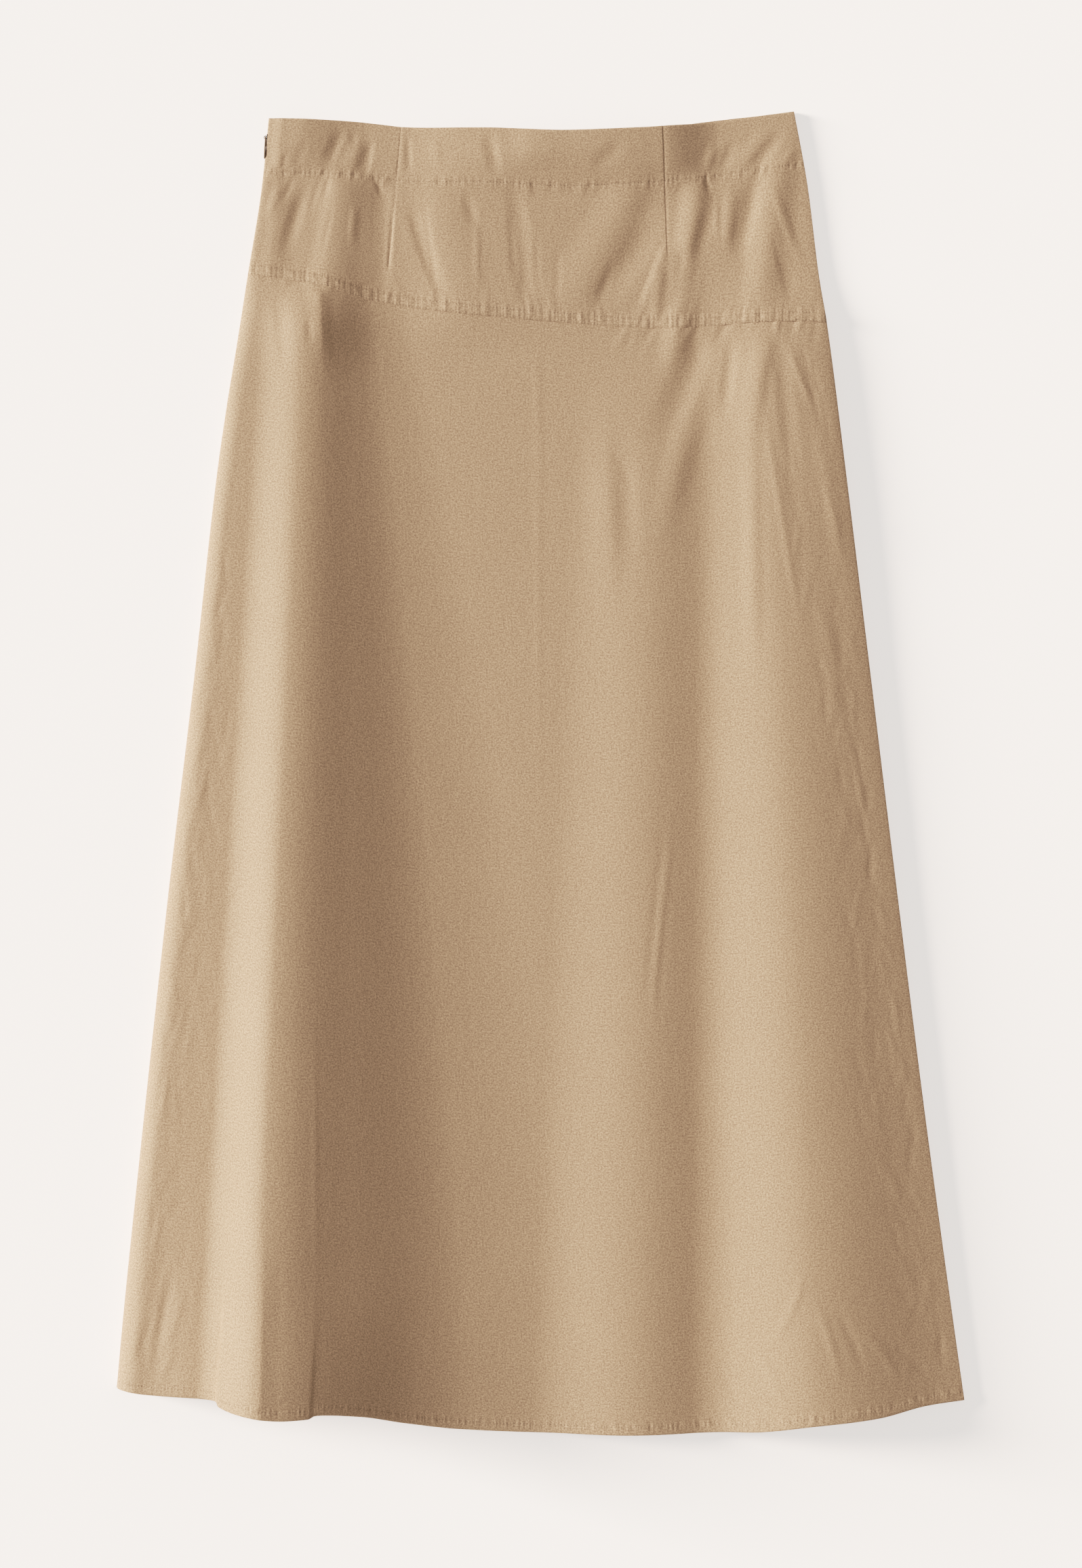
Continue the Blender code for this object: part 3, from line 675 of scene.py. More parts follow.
COTTON_TAN, COTTON_DEEP = (0.600, 0.436, 0.306), (0.355, 0.238, 0.159)
# A darker brown, painted as the shade in the needle holes' dimples, in dots along each row of stitches.
HOLE_SHADE_BROWN = tuple(0.5 * part for part in COTTON_DEEP)
THREAD_PITCH = 0.00042
GRAIN_PER_METRE, SLUB_PER_METRE, CRINKLE_PER_METRE, CLOUD_PER_METRE = 900.0, 1100.0, 170.0, 24.0
WARP_STRETCH, WEFT_STRETCH, CRINKLE_STRETCH = 0.09, 0.12, 0.7
GRAIN_TONE, SLUB_TONE, CLOUD_TONE = 3.2, 0.25, 0.14
CRINKLE_RELIEF, GRAIN_RELIEF, SLUB_RELIEF, WEAVE_RELIEF = 0.5, 0.16, 0.06, 0.025
COTTON_ROUGH, GRAIN_ROUGH, COTTON_SHINE = 0.74, 0.12, 0.5
COTTON_BUMP, COTTON_BUMP_DEPTH = 0.55, 0.0009
SHEEN, SHEEN_ROUGH = 0.12, 0.5
HOLE_PITCH, HOLE_HALF, HOLE_SHADE_STRENGTH = 0.0023, 0.0006, 0.75
PUCKER_PER_METRE, PUCKER_REACH, PUCKER_STRETCH, PUCKER_RELIEF = 310.0, 0.0046, 0.16, 2.0


def cotton(name, rows):
    """Washed plain-weave cotton. `rows` names its rows of stitches, whose needle holes show as dots of
    painted shade.
    """
    finish, start = new_finish(name)
    place = start.map("cloth")
    u, v = place.parts()

    def near_line(off, half):
        """1 on a line, 0 that far from it and beyond."""
        return start.math("MAXIMUM", 1.0 - start.math("ABSOLUTE", off) / half, 0.0)

    slub = start.noise(start.node("CombineXYZ", {0: u, 1: v * WARP_STRETCH}), SLUB_PER_METRE, 2.0)
    weft_slub = start.noise(start.node("CombineXYZ", {0: u * WEFT_STRETCH, 1: v}), SLUB_PER_METRE, 2.0)
    grain = start.noise(place, GRAIN_PER_METRE, 2.0, 0.7)
    cloudy = start.noise(place, CLOUD_PER_METRE, 3.0)
    crinkle_place = start.node("CombineXYZ", {0: u, 1: v * CRINKLE_STRETCH})
    crinkle = start.noise(crinkle_place, CRINKLE_PER_METRE, 4.0, 0.55)
    tone = 0.5 + (grain - 0.5) * GRAIN_TONE + (slub - 0.5) * SLUB_TONE
    tone = tone + (weft_slub - 0.5) * SLUB_TONE + (cloudy - 0.5) * CLOUD_TONE
    warp, weft = (start.math("SINE", part * (2 * math.pi / THREAD_PITCH)) for part in (u, v))
    colour = start.mix(tone, COTTON_DEEP, COTTON_TAN)
    relief = crinkle * CRINKLE_RELIEF + grain * GRAIN_RELIEF + slub * SLUB_RELIEF
    relief = relief + warp * weft * WEAVE_RELIEF
    for row in rows:
        along, off = start.map(row).parts()
        stretched = start.node("CombineXYZ", {0: along, 1: off * PUCKER_STRETCH})
        pucker = start.noise(stretched, PUCKER_PER_METRE, 1.0) - 0.5
        relief = relief + near_line(off, PUCKER_REACH) * pucker * PUCKER_RELIEF
        # Painted shade: a dark dot at each needle hole along the row stands in for the shade in its dimple.
        beat = start.math("COSINE", along * (2 * math.pi / HOLE_PITCH))
        hole_shade = near_line(off, HOLE_HALF) * start.math("POWER", start.math("MAXIMUM", beat, 0.0), 2.0)
        colour = start.mix(hole_shade * HOLE_SHADE_STRENGTH, colour, HOLE_SHADE_BROWN)
    start.shade(
        {
            "Base Color": colour,
            "Roughness": COTTON_ROUGH + (grain - 0.5) * GRAIN_ROUGH,
            "Normal": relief.bump(COTTON_BUMP, COTTON_BUMP_DEPTH),
            "Specular IOR Level": COTTON_SHINE,
            "Sheen Weight": SHEEN,
            "Sheen Roughness": SHEEN_ROUGH,
        }
    )
    return finish


def panel(name, points, wall, rows):
    """A panel of cotton. `rows` gives the place down of each of its rows of stitches."""
    maps = {"cloth": cloth_map(points)}
    for row_name, row in rows.items():
        maps[row_name] = row_map(points, row)
    wall = wall + np.zeros(points.shape[:2])
    return cloth_shell(name + "_cloth", points, wall, maps, cotton(name + "_cotton", rows))


UNDERLAP, UNDERLAP_DROP = 5.0, 0.15  # how far the panel's top edge runs up under the yoke, and lower
SKIRT_ROWS = (
    [*spaced(0.0, UNDERLAP + 14, 1.3), *spaced(UNDERLAP + 16, UNDERLAP + 60, 2.6)],
    168,
    [*spaced(26.0, 12.0, 2.0), *spaced(11.0, 1.8, 0.75), 1.2, 0.8, 0.5, 0.25, 0.0],
)

skirt_top = line(YOKE_SEAM, -UNDERLAP)
skirt_shares = row_shares(panel_length(SKIRT_COLUMNS, skirt_top, hem), *SKIRT_ROWS)
skirt_points = front_points(SKIRT_COLUMNS, skirt_top, hem, skirt_shares, skirt_height)
across, down = plan_of(skirt_points)
skirt_points[..., 2] -= UNDERLAP_DROP * MM * ease(yoke_seam(across) - down)
across, down = plan_of(skirt_points)
skirt_wall = (CLOTH + HEM_TURN_WALL * hem_step(hem(across) - down)) * MM
skirt_wall[:, 0] *= SLIT_EDGE_SHARE
front_skirt = panel("front_skirt", skirt_points, skirt_wall, {"hem_row": hem_stitches})
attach(front_skirt, "skirt")
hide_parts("front_skirt")


# The front yoke, one shaped piece of the same cotton from the waist's folded edge to the slanting seam, with
# two darts pressed to the middle and a facing inside its waist. The seam's allowances are pressed up under
# it and topstitched in two rows, which draw the cloth into gathers.
WAIST = [
    Edge(-186, 5.0),
    Edge(-130, 7.0),
    Edge(-106, 9.4),
    Edge(-94, 10.8),
    Edge(-71, 11.7),
    Edge(-36, 12.2),
    Edge(16, 14.5),
    Edge(68, 12.6),
    Edge(91, 10.7),
    Edge(115, 8.0),
    Edge(138, 4.7),
    Edge(174, 0.0),
]
FACING_DEPTH = 36.8
SEAM_ROW_LOW, SEAM_ROW_HIGH = 0.9, 6.3  # how far the two rows of stitches are above the seam
SEAM_BAND, SEAM_BAND_RISE, BAND_STEP = 7.2, 0.5, 0.9
SEAM_DITCH_WIDTH, SEAM_DITCH_DEPTH = 0.6, 0.12
SEAM_ROUND, SEAM_ROUND_DROP, WAIST_ROUND, WAIST_ROUND_DROP = 0.7, 0.4, 1.1, 0.5
FACING_WALL = 0.5
Dart = namedtuple("Dart", "top_across bottom_across tip_down toward_middle")
DARTS = [Dart(-94.7, -104.7, 108.0, 1), Dart(82.9, 87.2, 107.0, -1)]
DART_RISE, DART_REACH, DART_FADE = 0.22, 9.0, 0.16
DART_EDGE, DART_SET_BACK = 0.5, 0.4
DART_LOWER, DART_THINNING = 60, 0.7
DART_WALL_WIDTH, DART_SLOPE_WIDTH, DART_DITCH_DEPTH = 0.3, 1.3, 0.27

YOKE_CREASES = [
    Crease(-134, 9, -148, 42, -1.0, 8, 5, 0, 0.2),
    Crease(-121, 18, -134, 44, 0.9, 9, 8),
    Crease(-115, 15, -121, 48, -0.8, 9, 3.5),
    Crease(-129, 12, -128, 26, -0.4, 4, 4),
    Crease(-174, 28, -177, 43, -0.4, 3, 3),
    Crease(-160, 18, -168, 40, -0.35, 5, 5),
    Crease(-107, 46, -108, 134, -0.6, 12, 8, 0, 0.3, 0.15, 0.3),
    Crease(-101.5, 66, -104.8, 110, -0.55, 1.2, 2.6, 0, 0.5, 0.3, 0.1),
    Crease(-115, 43, -108, 60, -0.8, 3, 5, 0, 0.4),
    Crease(-156, 44, -177, 106, -0.9, 7, 7, -2),
    Crease(-168, 43, -178, 66, -0.4, 3, 3),
    Crease(-150, 44, -160, 74, -0.45, 3.5, 3.5),
    Crease(-144, 43, -149, 62, -0.4, 3, 3),
    Crease(-177, 45, -188, 78, 0.5, 5, 5),
    Crease(-141, 60, -151, 104, -0.3, 3, 3),
    Crease(-127, 60, -130, 96, 0.5, 4, 5),
    Crease(-91, 12, -90, 46, -0.6, 4, 3, 0, 0.4),
    Crease(-91, 58, -64, 136, -0.9, 6, 10, -2, 0, 0.3, 0.3),
    Crease(-81, 54, -70, 132, -0.35, 3, 3),
    Crease(-72, 16, -70, 40, 0.4, 7, 5),
    Crease(-52, 54, -44, 82, -0.6, 6, 6),
    Crease(-44, 70, -43, 130, 0.35, 4, 4),
    Crease(-36, 12, -29, 48, -0.9, 8, 6),
    Crease(-22, 42, -10, 138, -0.8, 9, 9, 3, 0, 0.3, 0.2),
    Crease(-22, 64, -17, 126, -0.4, 4, 5),
    Crease(-12, 46, -6, 60, 0.35, 4, 4),
    Crease(-6, 4, -5, 44, 1.0, 18, 30),
    Crease(-157, -10, -161, 46, 2.2, 22, 42, 0, 0, 0.05, 0.5),
    Crease(-174, -14, -180, 54, 2.0, 9, 60, 0, 0, 0.05, 0.3),
    Crease(-3, 80, -2, 132, -0.3, 4, 4),
    Crease(12, 92, 11, 136, -0.3, 4, 4),
    Crease(60, 20, 34, 42, -0.7, 9, 9),
    Crease(84, 64, 34, 138, -1.0, 14, 13, 3),
    Crease(52, 98, 36, 138, -0.5, 5, 6),
    Crease(90, 84, 68, 142, 1.1, 5, 16, -1, 0.3, 0.3, 0.3),
    Crease(97, 92, 90, 141, -1.0, 7, 9, 2, 0.2, 0.2, 0.3),
    Crease(82, 104, 79, 150, 0.8, 7, 8, 0, 0.2, 0.3, 0.2),
    Crease(121, 22, 112, 43, 0.7, 6, 5),
    Crease(134, 18, 121, 46, -0.6, 5, 6),
    Crease(160, 8, 131, 46, 0.7, 9, 7),
    Crease(168, 11, 145, 42, -0.7, 7, 6),
    Crease(176, 22, 160, 44, 0.5, 5, 6),
    Crease(112, 42, 116, 58, -0.7, 3, 3.5, 0, 0.4),
    Crease(117, 60, 98, 150, -0.9, 8, 8, -2, 0, 0.3, 0.3),
    Crease(131, 45, 126, 100, 0.8, 6, 7),
    Crease(150, 38, 133, 108, -1.4, 11, 9),
    Crease(156, 44, 180, 112, 0.6, 5, 6),
    Crease(157, 76, 172, 134, -0.45, 4, 9),
    Crease(120, 58, 122, 96, 0.3, 3, 3),
]
SEAM_GATHERS = [
    Gather("seam_left", -198, -105, 3.8, 0.45, 12, 7, 0.0, 31),
    Gather("seam_middle", -105, 45, 4.6, 0.50, 28, 6, 0.0, 32),
    Gather("seam_right", 45, 194, 4.4, 0.50, 24, 7, 0.2, 33),
]
FACING_GATHERS = [
    Gather("facing_left", -190, -105, 4.0, 0.50, 7, 11, 0.3, 41),
    Gather("facing_middle", -105, 82, 5.0, 0.30, 7, 12, 0.1, 42),
    Gather("facing_right", 82, 176, 4.2, 0.45, 8, 12, 0.3, 43),
]

waist, facing_stitches = line(WAIST), line(WAIST, FACING_DEPTH)


def seam_rows(edge):
    """The two rows of stitches above a yoke's seam, the lower first, and the middle between them."""
    middle = 0.5 * (SEAM_ROW_LOW + SEAM_ROW_HIGH)
    return [line(edge, -above) for above in (SEAM_ROW_LOW, SEAM_ROW_HIGH, middle)]


seam_stitches_low, seam_stitches_high, seam_middle = seam_rows(YOKE_SEAM)


def dart_rise(across, down):
    """Height that the pressed darts add to the yoke, with the small ditch beside each."""
    height = np.zeros_like(across)
    for dart in DARTS:
        share = np.clip(down / dart.tip_down, 0.0, 1.0)
        sewn = dart.top_across + (dart.bottom_across - dart.top_across) * share
        off = across - sewn
        inward = off * dart.toward_middle
        lap = ease((inward - DART_SET_BACK) / DART_EDGE + 0.5) * (1.0 - ease(inward / DART_REACH))
        thinned = 1.0 - DART_THINNING * ease(down / DART_LOWER)
        ditch_width = np.where(off < 0, DART_WALL_WIDTH, DART_SLOPE_WIDTH)
        pulled_in = ditch(off, ditch_width, DART_DITCH_DEPTH) * ease(down / DART_LOWER + 0.5)
        running_out = 1.0 - ease((down / dart.tip_down - 1.0 + DART_FADE) / DART_FADE)
        height = height + (DART_RISE * lap * thinned + pulled_in) * running_out
    return height


def seam_band(above_seam, rise, depth):
    """The allowances' band along a yoke's seam, with the ditches of its two rows of stitches."""
    height = rise * ease((SEAM_BAND - above_seam) / BAND_STEP + 0.5)
    for place in (SEAM_ROW_LOW, SEAM_ROW_HIGH):
        height = height + ditch(above_seam - place, SEAM_DITCH_WIDTH, depth)
    return height


def yoke_height(across, down):
    """The front yoke's outer face."""
    height = front_height(across, down) + dart_rise(across, down)
    gathers = [(SEAM_GATHERS, seam_middle), (FACING_GATHERS, facing_stitches)]
    height = finer(height, across, down, YOKE_CREASES, gathers)
    above_seam = yoke_seam(across) - down
    height = height + seam_band(above_seam, SEAM_BAND_RISE, SEAM_DITCH_DEPTH)
    height = height + ditch(down - facing_stitches(across), STITCH_DITCH_WIDTH, STITCH_DITCH_DEPTH)
    seam_fold = np.clip(1.0 - above_seam / SEAM_ROUND, 0.0, 1.0)
    waist_fold = np.clip(1.0 - (down - waist(across)) / WAIST_ROUND, 0.0, 1.0)
    return height - SEAM_ROUND_DROP * seam_fold**2 - WAIST_ROUND_DROP * waist_fold**2


YOKE_COLUMNS = [
    Column("left_side", -185.9, -200.5, 10, "roll_in"),
    Column("left_roll_end", -180.0, -194.5, 80, "even"),
    Column("left_dart", -97.0, -107.6, 12, "even"),
    Column("left_dart_inner", -93.2, -102.5, 168, "even"),
    Column("right_dart_inner", 81.4, 85.6, 12, "even"),
    Column("right_dart", 84.8, 90.2, 80, "even"),
    Column("right_roll_end", 166.0, 188.5, 10, "roll_out"),
    Column("right_side", 173.6, 196.3, 0, "end"),
]
YOKE_ROWS = (
    [0.0, 0.3, 0.7, 1.2, 1.9, 2.8, *spaced(4.0, 34.0, 1.5), *spaced(34.5, 39.5, 0.55)],
    46,
    [*spaced(15.0, 5.2, 0.7), *spaced(4.6, 1.4, 0.65), 1.1, 0.85, 0.6, 0.4, 0.2, 0.0],
)

yoke_shares = row_shares(panel_length(YOKE_COLUMNS, waist, yoke_seam), *YOKE_ROWS)
yoke_points = front_points(YOKE_COLUMNS, waist, yoke_seam, yoke_shares, yoke_height)
across, down = plan_of(yoke_points)
yoke_wall = (CLOTH + FACING_WALL * ease((FACING_DEPTH - (down - waist(across))) / HEM_STEP)) * MM
yoke_wall[:, 0] *= SLIT_EDGE_SHARE
yoke_rows = {
    "facing_row": facing_stitches,
    "seam_row_low": seam_stitches_low,
    "seam_row_high": seam_stitches_high,
}
front_yoke = panel("front_yoke", yoke_points, yoke_wall, yoke_rows)
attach(front_yoke, "skirt")
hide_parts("front_yoke")


# The back yoke and the back skirt panel, of the same cotton, cut like the front's but without darts. They lie
# flat under it, so their outer faces are underneath, and are sewn to it at both sides. At image left the
# back's allowance turns up behind the zip's slit.
BACK_REST = 0.42
BACK_CLOTH = 0.55
BACK_TURN_RISE = 0.35
BACK_YOKE_SEAM = [Edge(-201, 112.2), Edge(-100, 122.0), Edge(100, 140.0), Edge(197, 145.4)]
BACK_HEM = [Edge(-291, 870.0), Edge(-200, 878.0), Edge(0, 899.0), Edge(120, 899.0), Edge(291, 879.0)]
BACK_WAIST_PEEK = 1.2  # the back's waist edge shows this far above the front's ...
BACK_WAIST_PEEK_MIDDLE, BACK_WAIST_PEEK_REACH = 112.0, 30.0  # ... around this place across
BACK_EDGE_REACH, BACK_EDGE_RISE = 5.0, 0.18
BACK_DITCH_DEPTH, BACK_SEAM_DITCH_DEPTH = 0.2, 0.15
BACK_LIP = [(0.0, 0.62), (0.25, 1.3), (0.7, 2.1), (1.2, 2.8), (1.55, 3.4)]  # how far in, and how high
BACK_SIDE_LIP = [(0.0, 0.60), (0.02, 0.66), (0.05, 0.72), (0.09, 0.77), (0.14, 0.80)]

BACK_SKIRT_CREASES = [
    Crease(-120, 150, -175, 420, 0.8, 14, 16, 8),
    Crease(-60, 170, -96, 560, 0.9, 18, 14, -6, 0.2),
    Crease(20, 160, 34, 380, 0.6, 12, 15, 4),
    Crease(95, 165, 128, 520, 0.9, 16, 18, 6),
    Crease(150, 260, 196, 640, 0.7, 12, 10, -8, 0.3),
    Crease(-30, 430, -18, 800, 0.8, 20, 22, 7),
    Crease(-190, 520, -228, 850, 0.7, 14, 16, 5),
    Crease(-140, 610, -128, 880, 0.6, 16, 12, -5),
    Crease(84, 560, 70, 890, 0.8, 18, 16, 6),
    Crease(215, 690, 236, 870, 0.6, 12, 14, 3),
    Crease(40, 700, 118, 760, 0.3, 5, 6, 3, 0.4),
    Crease(-90, 330, -40, 372, 0.3, 4, 5, -3, 0.5),
]
BACK_YOKE_CREASES = [
    Crease(-150, 24, -160, 100, 0.6, 12, 14, 3),
    Crease(-96, 52, -84, 118, 0.5, 9, 12, -2),
    Crease(-30, 30, -38, 110, 0.5, 14, 12, 3),
    Crease(42, 46, 54, 128, 0.6, 12, 14, 2),
    Crease(104, 20, 96, 96, 0.7, 10, 12, -3),
    Crease(150, 34, 156, 130, 0.6, 10, 12, 3),
]
BACK_GATHERS = [
    Gather("back_left", -285, -60, 4.8, 0.30, 9, 7, 0.2, 51),
    Gather("back_right", -60, 285, 5.4, 0.26, 8, 7, -0.2, 52),
]


def back_waist(across):
    peek = np.exp(-(((across - BACK_WAIST_PEEK_MIDDLE) / BACK_WAIST_PEEK_REACH) ** 2))
    return waist(across) - BACK_WAIST_PEEK * peek


def back_facing(across):
    return back_waist(across) + FACING_DEPTH


back_seam, back_hem = line(BACK_YOKE_SEAM), line(BACK_HEM)
back_hem_stitches = line(BACK_HEM, -HEM_TURN)
back_seam_low, back_seam_high, back_seam_middle = seam_rows(BACK_YOKE_SEAM)


def back_skirt_height(across, down):
    gathers = [(BACK_GATHERS, back_hem_stitches)]
    height = finer(BACK_REST, across, down, BACK_SKIRT_CREASES, gathers, one_way=True)
    from_hem = back_hem(across) - down
    height = height - BACK_TURN_RISE * hem_step(from_hem)
    return height - ditch(from_hem - HEM_TURN, STITCH_DITCH_WIDTH, BACK_DITCH_DEPTH)


def back_yoke_height(across, down):
    gathers = [(BACK_GATHERS, back_facing), (BACK_GATHERS, back_seam_middle)]
    height = finer(BACK_REST, across, down, BACK_YOKE_CREASES, gathers, one_way=True)
    height = height - seam_band(back_seam(across) - down, BACK_TURN_RISE, BACK_SEAM_DITCH_DEPTH)
    return height - ditch(down - back_facing(across), STITCH_DITCH_WIDTH, BACK_DITCH_DEPTH)


def side_at_edge(name, edge):
    """Across place where a side of the skirt meets a piece's top or bottom edge."""
    across = side(name, 0.0)
    for _ in range(8):
        across = side(name, edge(across))
    return float(across)


def back_points(top, bottom, length_rows, columns, height_at):
    """The lower, outer face of a back piece, from image right to left, and up behind the zip's slit."""
    spans = [
        np.linspace(side_at_edge("left", edge), side_at_edge("right", edge), columns)
        for edge in (top, bottom)
    ]
    shares = row_shares(bottom(spans[1]) - top(spans[0]), *length_rows)
    across, down = plan(*spans, top, bottom, shares)
    height = height_at(across, down)
    for from_edge in (across - across[:, :1], across[:, -1:] - across):
        height = height + BACK_EDGE_RISE * (1.0 - ease(from_edge / BACK_EDGE_REACH))
    zip_lip, side_lip = (np.array(lip).T[:, None, :] for lip in (BACK_LIP, BACK_SIDE_LIP))
    left_in, left_high = between(side_lip, zip_lip, zip_share(down[:, :1]))[:, :, ::-1]
    right_in, right_high = side_lip + 0.0 * zip_lip * down[:, :1]
    across = [across[:, :1] + left_in, across[:, 1:-1], across[:, -1:] - right_in]
    down = [down[:, :1] + 0.0 * left_in, down[:, 1:-1], down[:, -1:] + 0.0 * left_in]
    height = [left_high, height[:, 1:-1], right_high]
    return metres(*(np.concatenate(parts, axis=1) for parts in (across, down, height)))[:, ::-1]


BACK_SKIRT_ROWS = (
    [0.0, *spaced(1.2, 12.0, 2.0)],
    176,
    [*spaced(20.0, 8.0, 2.0), *spaced(7.2, 0.0, 0.8)],
)
BACK_YOKE_ROWS = (
    [0.0, 0.7, 1.5, *spaced(3.0, 34.0, 2.4), *spaced(34.8, 39.0, 0.7)],
    25,
    [*spaced(16.0, 9.0, 1.6), *spaced(8.2, 0.0, 0.7)],
)
back_skirt_points = back_points(back_seam, back_hem, BACK_SKIRT_ROWS, 187, back_skirt_height)
back_yoke_points = back_points(back_waist, back_seam, BACK_YOKE_ROWS, 189, back_yoke_height)
back_yoke_rows = {
    "facing_row": back_facing,
    "seam_row_low": back_seam_low,
    "seam_row_high": back_seam_high,
}
back_skirt = panel("back_skirt", back_skirt_points, BACK_CLOTH * MM, {"hem_row": back_hem_stitches})
back_yoke = panel("back_yoke", back_yoke_points, BACK_CLOTH * MM, back_yoke_rows)
for piece, node in [(back_skirt, "back_skirt"), (back_yoke, "back_yoke")]:
    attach(piece, "skirt")
    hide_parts(node)


# The rows of machine stitches, 11 to the inch, in cotton thread of the cloth's own colour: one row round the
# hem, one that holds the waist's facing, and two along the yoke's seam. Each stitch sinks at both ends.
STITCH_LENGTH = 1.9
THREAD_HALF = 0.16
STITCH_ENDS, STITCH_SINK, STITCH_LIFT = 0.4, 0.16, 0.04
STITCH_AIM = 0.0006
THREAD_LIGHT, THREAD_DARK, TWIST_PER_METRE = (0.60, 0.43, 0.29), (0.40, 0.27, 0.17), 3500.0
SIDE_CLEAR = 2.6  # the rows end this far from the turned sides

bpy.ops.object.select_all(action="DESELECT")
bpy.ops.mesh.primitive_uv_sphere_add(segments=6, ring_count=7, radius=1.0, location=(0, 0, 0))
one_stitch = bpy.context.object
bpy.ops.object.mode_set(mode="EDIT")
bpy.ops.transform.rotate(value=math.radians(90), orient_axis="Y", center_override=(0, 0, 0))
bpy.ops.transform.resize(value=(0.5 * STITCH_LENGTH, THREAD_HALF, THREAD_HALF))
bpy.ops.object.mode_set(mode="OBJECT")
for vertex in one_stitch.data.vertices:
    vertex.select = abs(vertex.co.x) > STITCH_ENDS * STITCH_LENGTH
bpy.ops.object.mode_set(mode="EDIT")
bpy.ops.mesh.select_mode(type="VERT")
bpy.ops.transform.translate(value=(0, 0, -STITCH_SINK))
bpy.ops.object.mode_set(mode="OBJECT")


def take_shape(model):
    """The vertices, in metres, and the faces of a small shape made in millimetres. Its object goes."""
    vertices = np.array([vertex.co for vertex in model.data.vertices]) * MM
    faces = np.array([face.vertices for face in model.data.polygons], dtype=object)
    bpy.data.objects.remove(model, do_unlink=True)
    return vertices, faces


def repeat(name, shape, places, axes, finish):
    """One piece with a copy of a small shape at every place, turned to that place's three axes."""
    vertices, faces = shape
    copies = places[:, None] + np.einsum("vk,nkj->nvj", vertices, axes)
    first = len(vertices) * np.arange(len(places))
    numbers = [[int(start + vertex) for vertex in face] for start in first for face in faces]
    return new_piece(name, copies.reshape(-1, 3), numbers, finish)


stitch = take_shape(one_stitch)


def trace(points, row):
    """Places and normals where a row of stitches crosses each column of a panel's points."""
    across, down = plan_of(points)
    below = down - row(across)
    after, column = np.argmax(below > 0, axis=0), np.arange(points.shape[1])
    high, low = below[after - 1, column], below[after, column]
    share = (high / (high - low))[:, None]
    grids = (points, grid_normals(points))
    return [between(grid[after - 1, column], grid[after, column], share) for grid in grids]


def sew(name, rows):
    """One piece of all the stitches in some rows, given as their panel's points and their places down."""
    middles, axes = [], []
    for points, row in rows:
        places, normals = trace(points, row)
        along = np.concatenate([[0.0], np.cumsum(np.linalg.norm(np.diff(places, axis=0), axis=1))])
        keep = np.concatenate([[True], np.diff(along) > 1e-7])
        starts = np.arange(0.5 * HOLE_PITCH, along[-1] - 0.5 * HOLE_PITCH, HOLE_PITCH)

        def at(distances, values):
            return np.stack([np.interp(distances, along[keep], part[keep]) for part in values.T], axis=1)

        across, down = plan_of(at(starts, places))
        on_face = across > side("left", down) + SIDE_CLEAR
        starts = starts[on_face & (across < side("right", down) - SIDE_CLEAR)]
        lengthwise = at(starts + STITCH_AIM, places) - at(starts - STITCH_AIM, places)
        lengthwise /= np.linalg.norm(lengthwise, axis=1, keepdims=True)
        out = at(starts, normals)
        out -= (out * lengthwise).sum(axis=1, keepdims=True) * lengthwise
        out /= np.linalg.norm(out, axis=1, keepdims=True)
        middles.append(at(starts, places) + STITCH_LIFT * MM * out)
        axes.append(np.stack([lengthwise, np.cross(out, lengthwise), out], axis=1))
    finish = thread(name + "_thread")
    piece = repeat(name + "_stitches", stitch, np.concatenate(middles), np.concatenate(axes), finish)
    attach(piece, "skirt")


def thread(name):
    """Spun cotton thread, with its twist."""
    finish, start = new_finish(name)
    twist = start.noise(start.node("TexCoord", {}, 3), TWIST_PER_METRE, 1.0)
    colour = start.mix(twist, THREAD_DARK, THREAD_LIGHT)
    start.shade({"Base Color": colour, "Normal": twist.bump(0.4, 0.0002), "Roughness": 0.7})
    return finish


sew("front_hem", [(skirt_points, hem_stitches)])
sew("front_seam", [(yoke_points, seam_stitches_low), (yoke_points, seam_stitches_high)])
sew("front_facing", [(yoke_points, facing_stitches)])
sew("back_hem", [(back_skirt_points, back_hem_stitches)])
sew("back_seam", [(back_yoke_points, back_seam_low), (back_yoke_points, back_seam_high)])
sew("back_facing", [(back_yoke_points, back_facing)])


# The zip in the left side's seam, closed: a woven tape sewn to the seam's allowances, on its edge behind the
# slit, and moulded nylon teeth along it. Both stay where they are, because the slit stays closed.
CHAIN_TOP, CHAIN_INSET = 14.0, 2.9
TAPE_TOP, TAPE_LOW, TAPE_HIGH, TAPE_THICKNESS, TAPE_SUNK = 7.0, 1.6, 4.2, 0.45, 0.07
TOOTH_DEEP, TOOTH_LONG, TOOTH_WIDE, TOOTH_ROUND = 0.42, 0.5, 1.5, 0.1
TOOTH_PITCH, TOOTH_SET, TOOTH_HEAD = 1.25, 0.36, 1.25
TAPE_BROWN, TAPE_SHADE = (0.34, 0.235, 0.155), (0.22, 0.15, 0.10)
NYLON_BROWN, NYLON_SHADE = (0.36, 0.25, 0.165), (0.28, 0.19, 0.125)
HERRINGBONE = 0.0011


def plain_finish(name, light, dark, scale, rough, depth, metallic=0.0):
    """A finish that varies a little with one noise, and the wire of its colour."""
    finish, start = new_finish(name)
    spots = start.noise(start.node("TexCoord", {}, 3), scale, 3.0)
    colour = start.mix((spots - 0.5) * 2.0 + 0.5, dark, light)
    start.shade({"Base Color": colour, "Normal": spots.bump(0.4, depth), "Metallic": metallic})
    start.shade({"Roughness": spots * 0.2 + (rough - 0.1)})
    return finish, colour


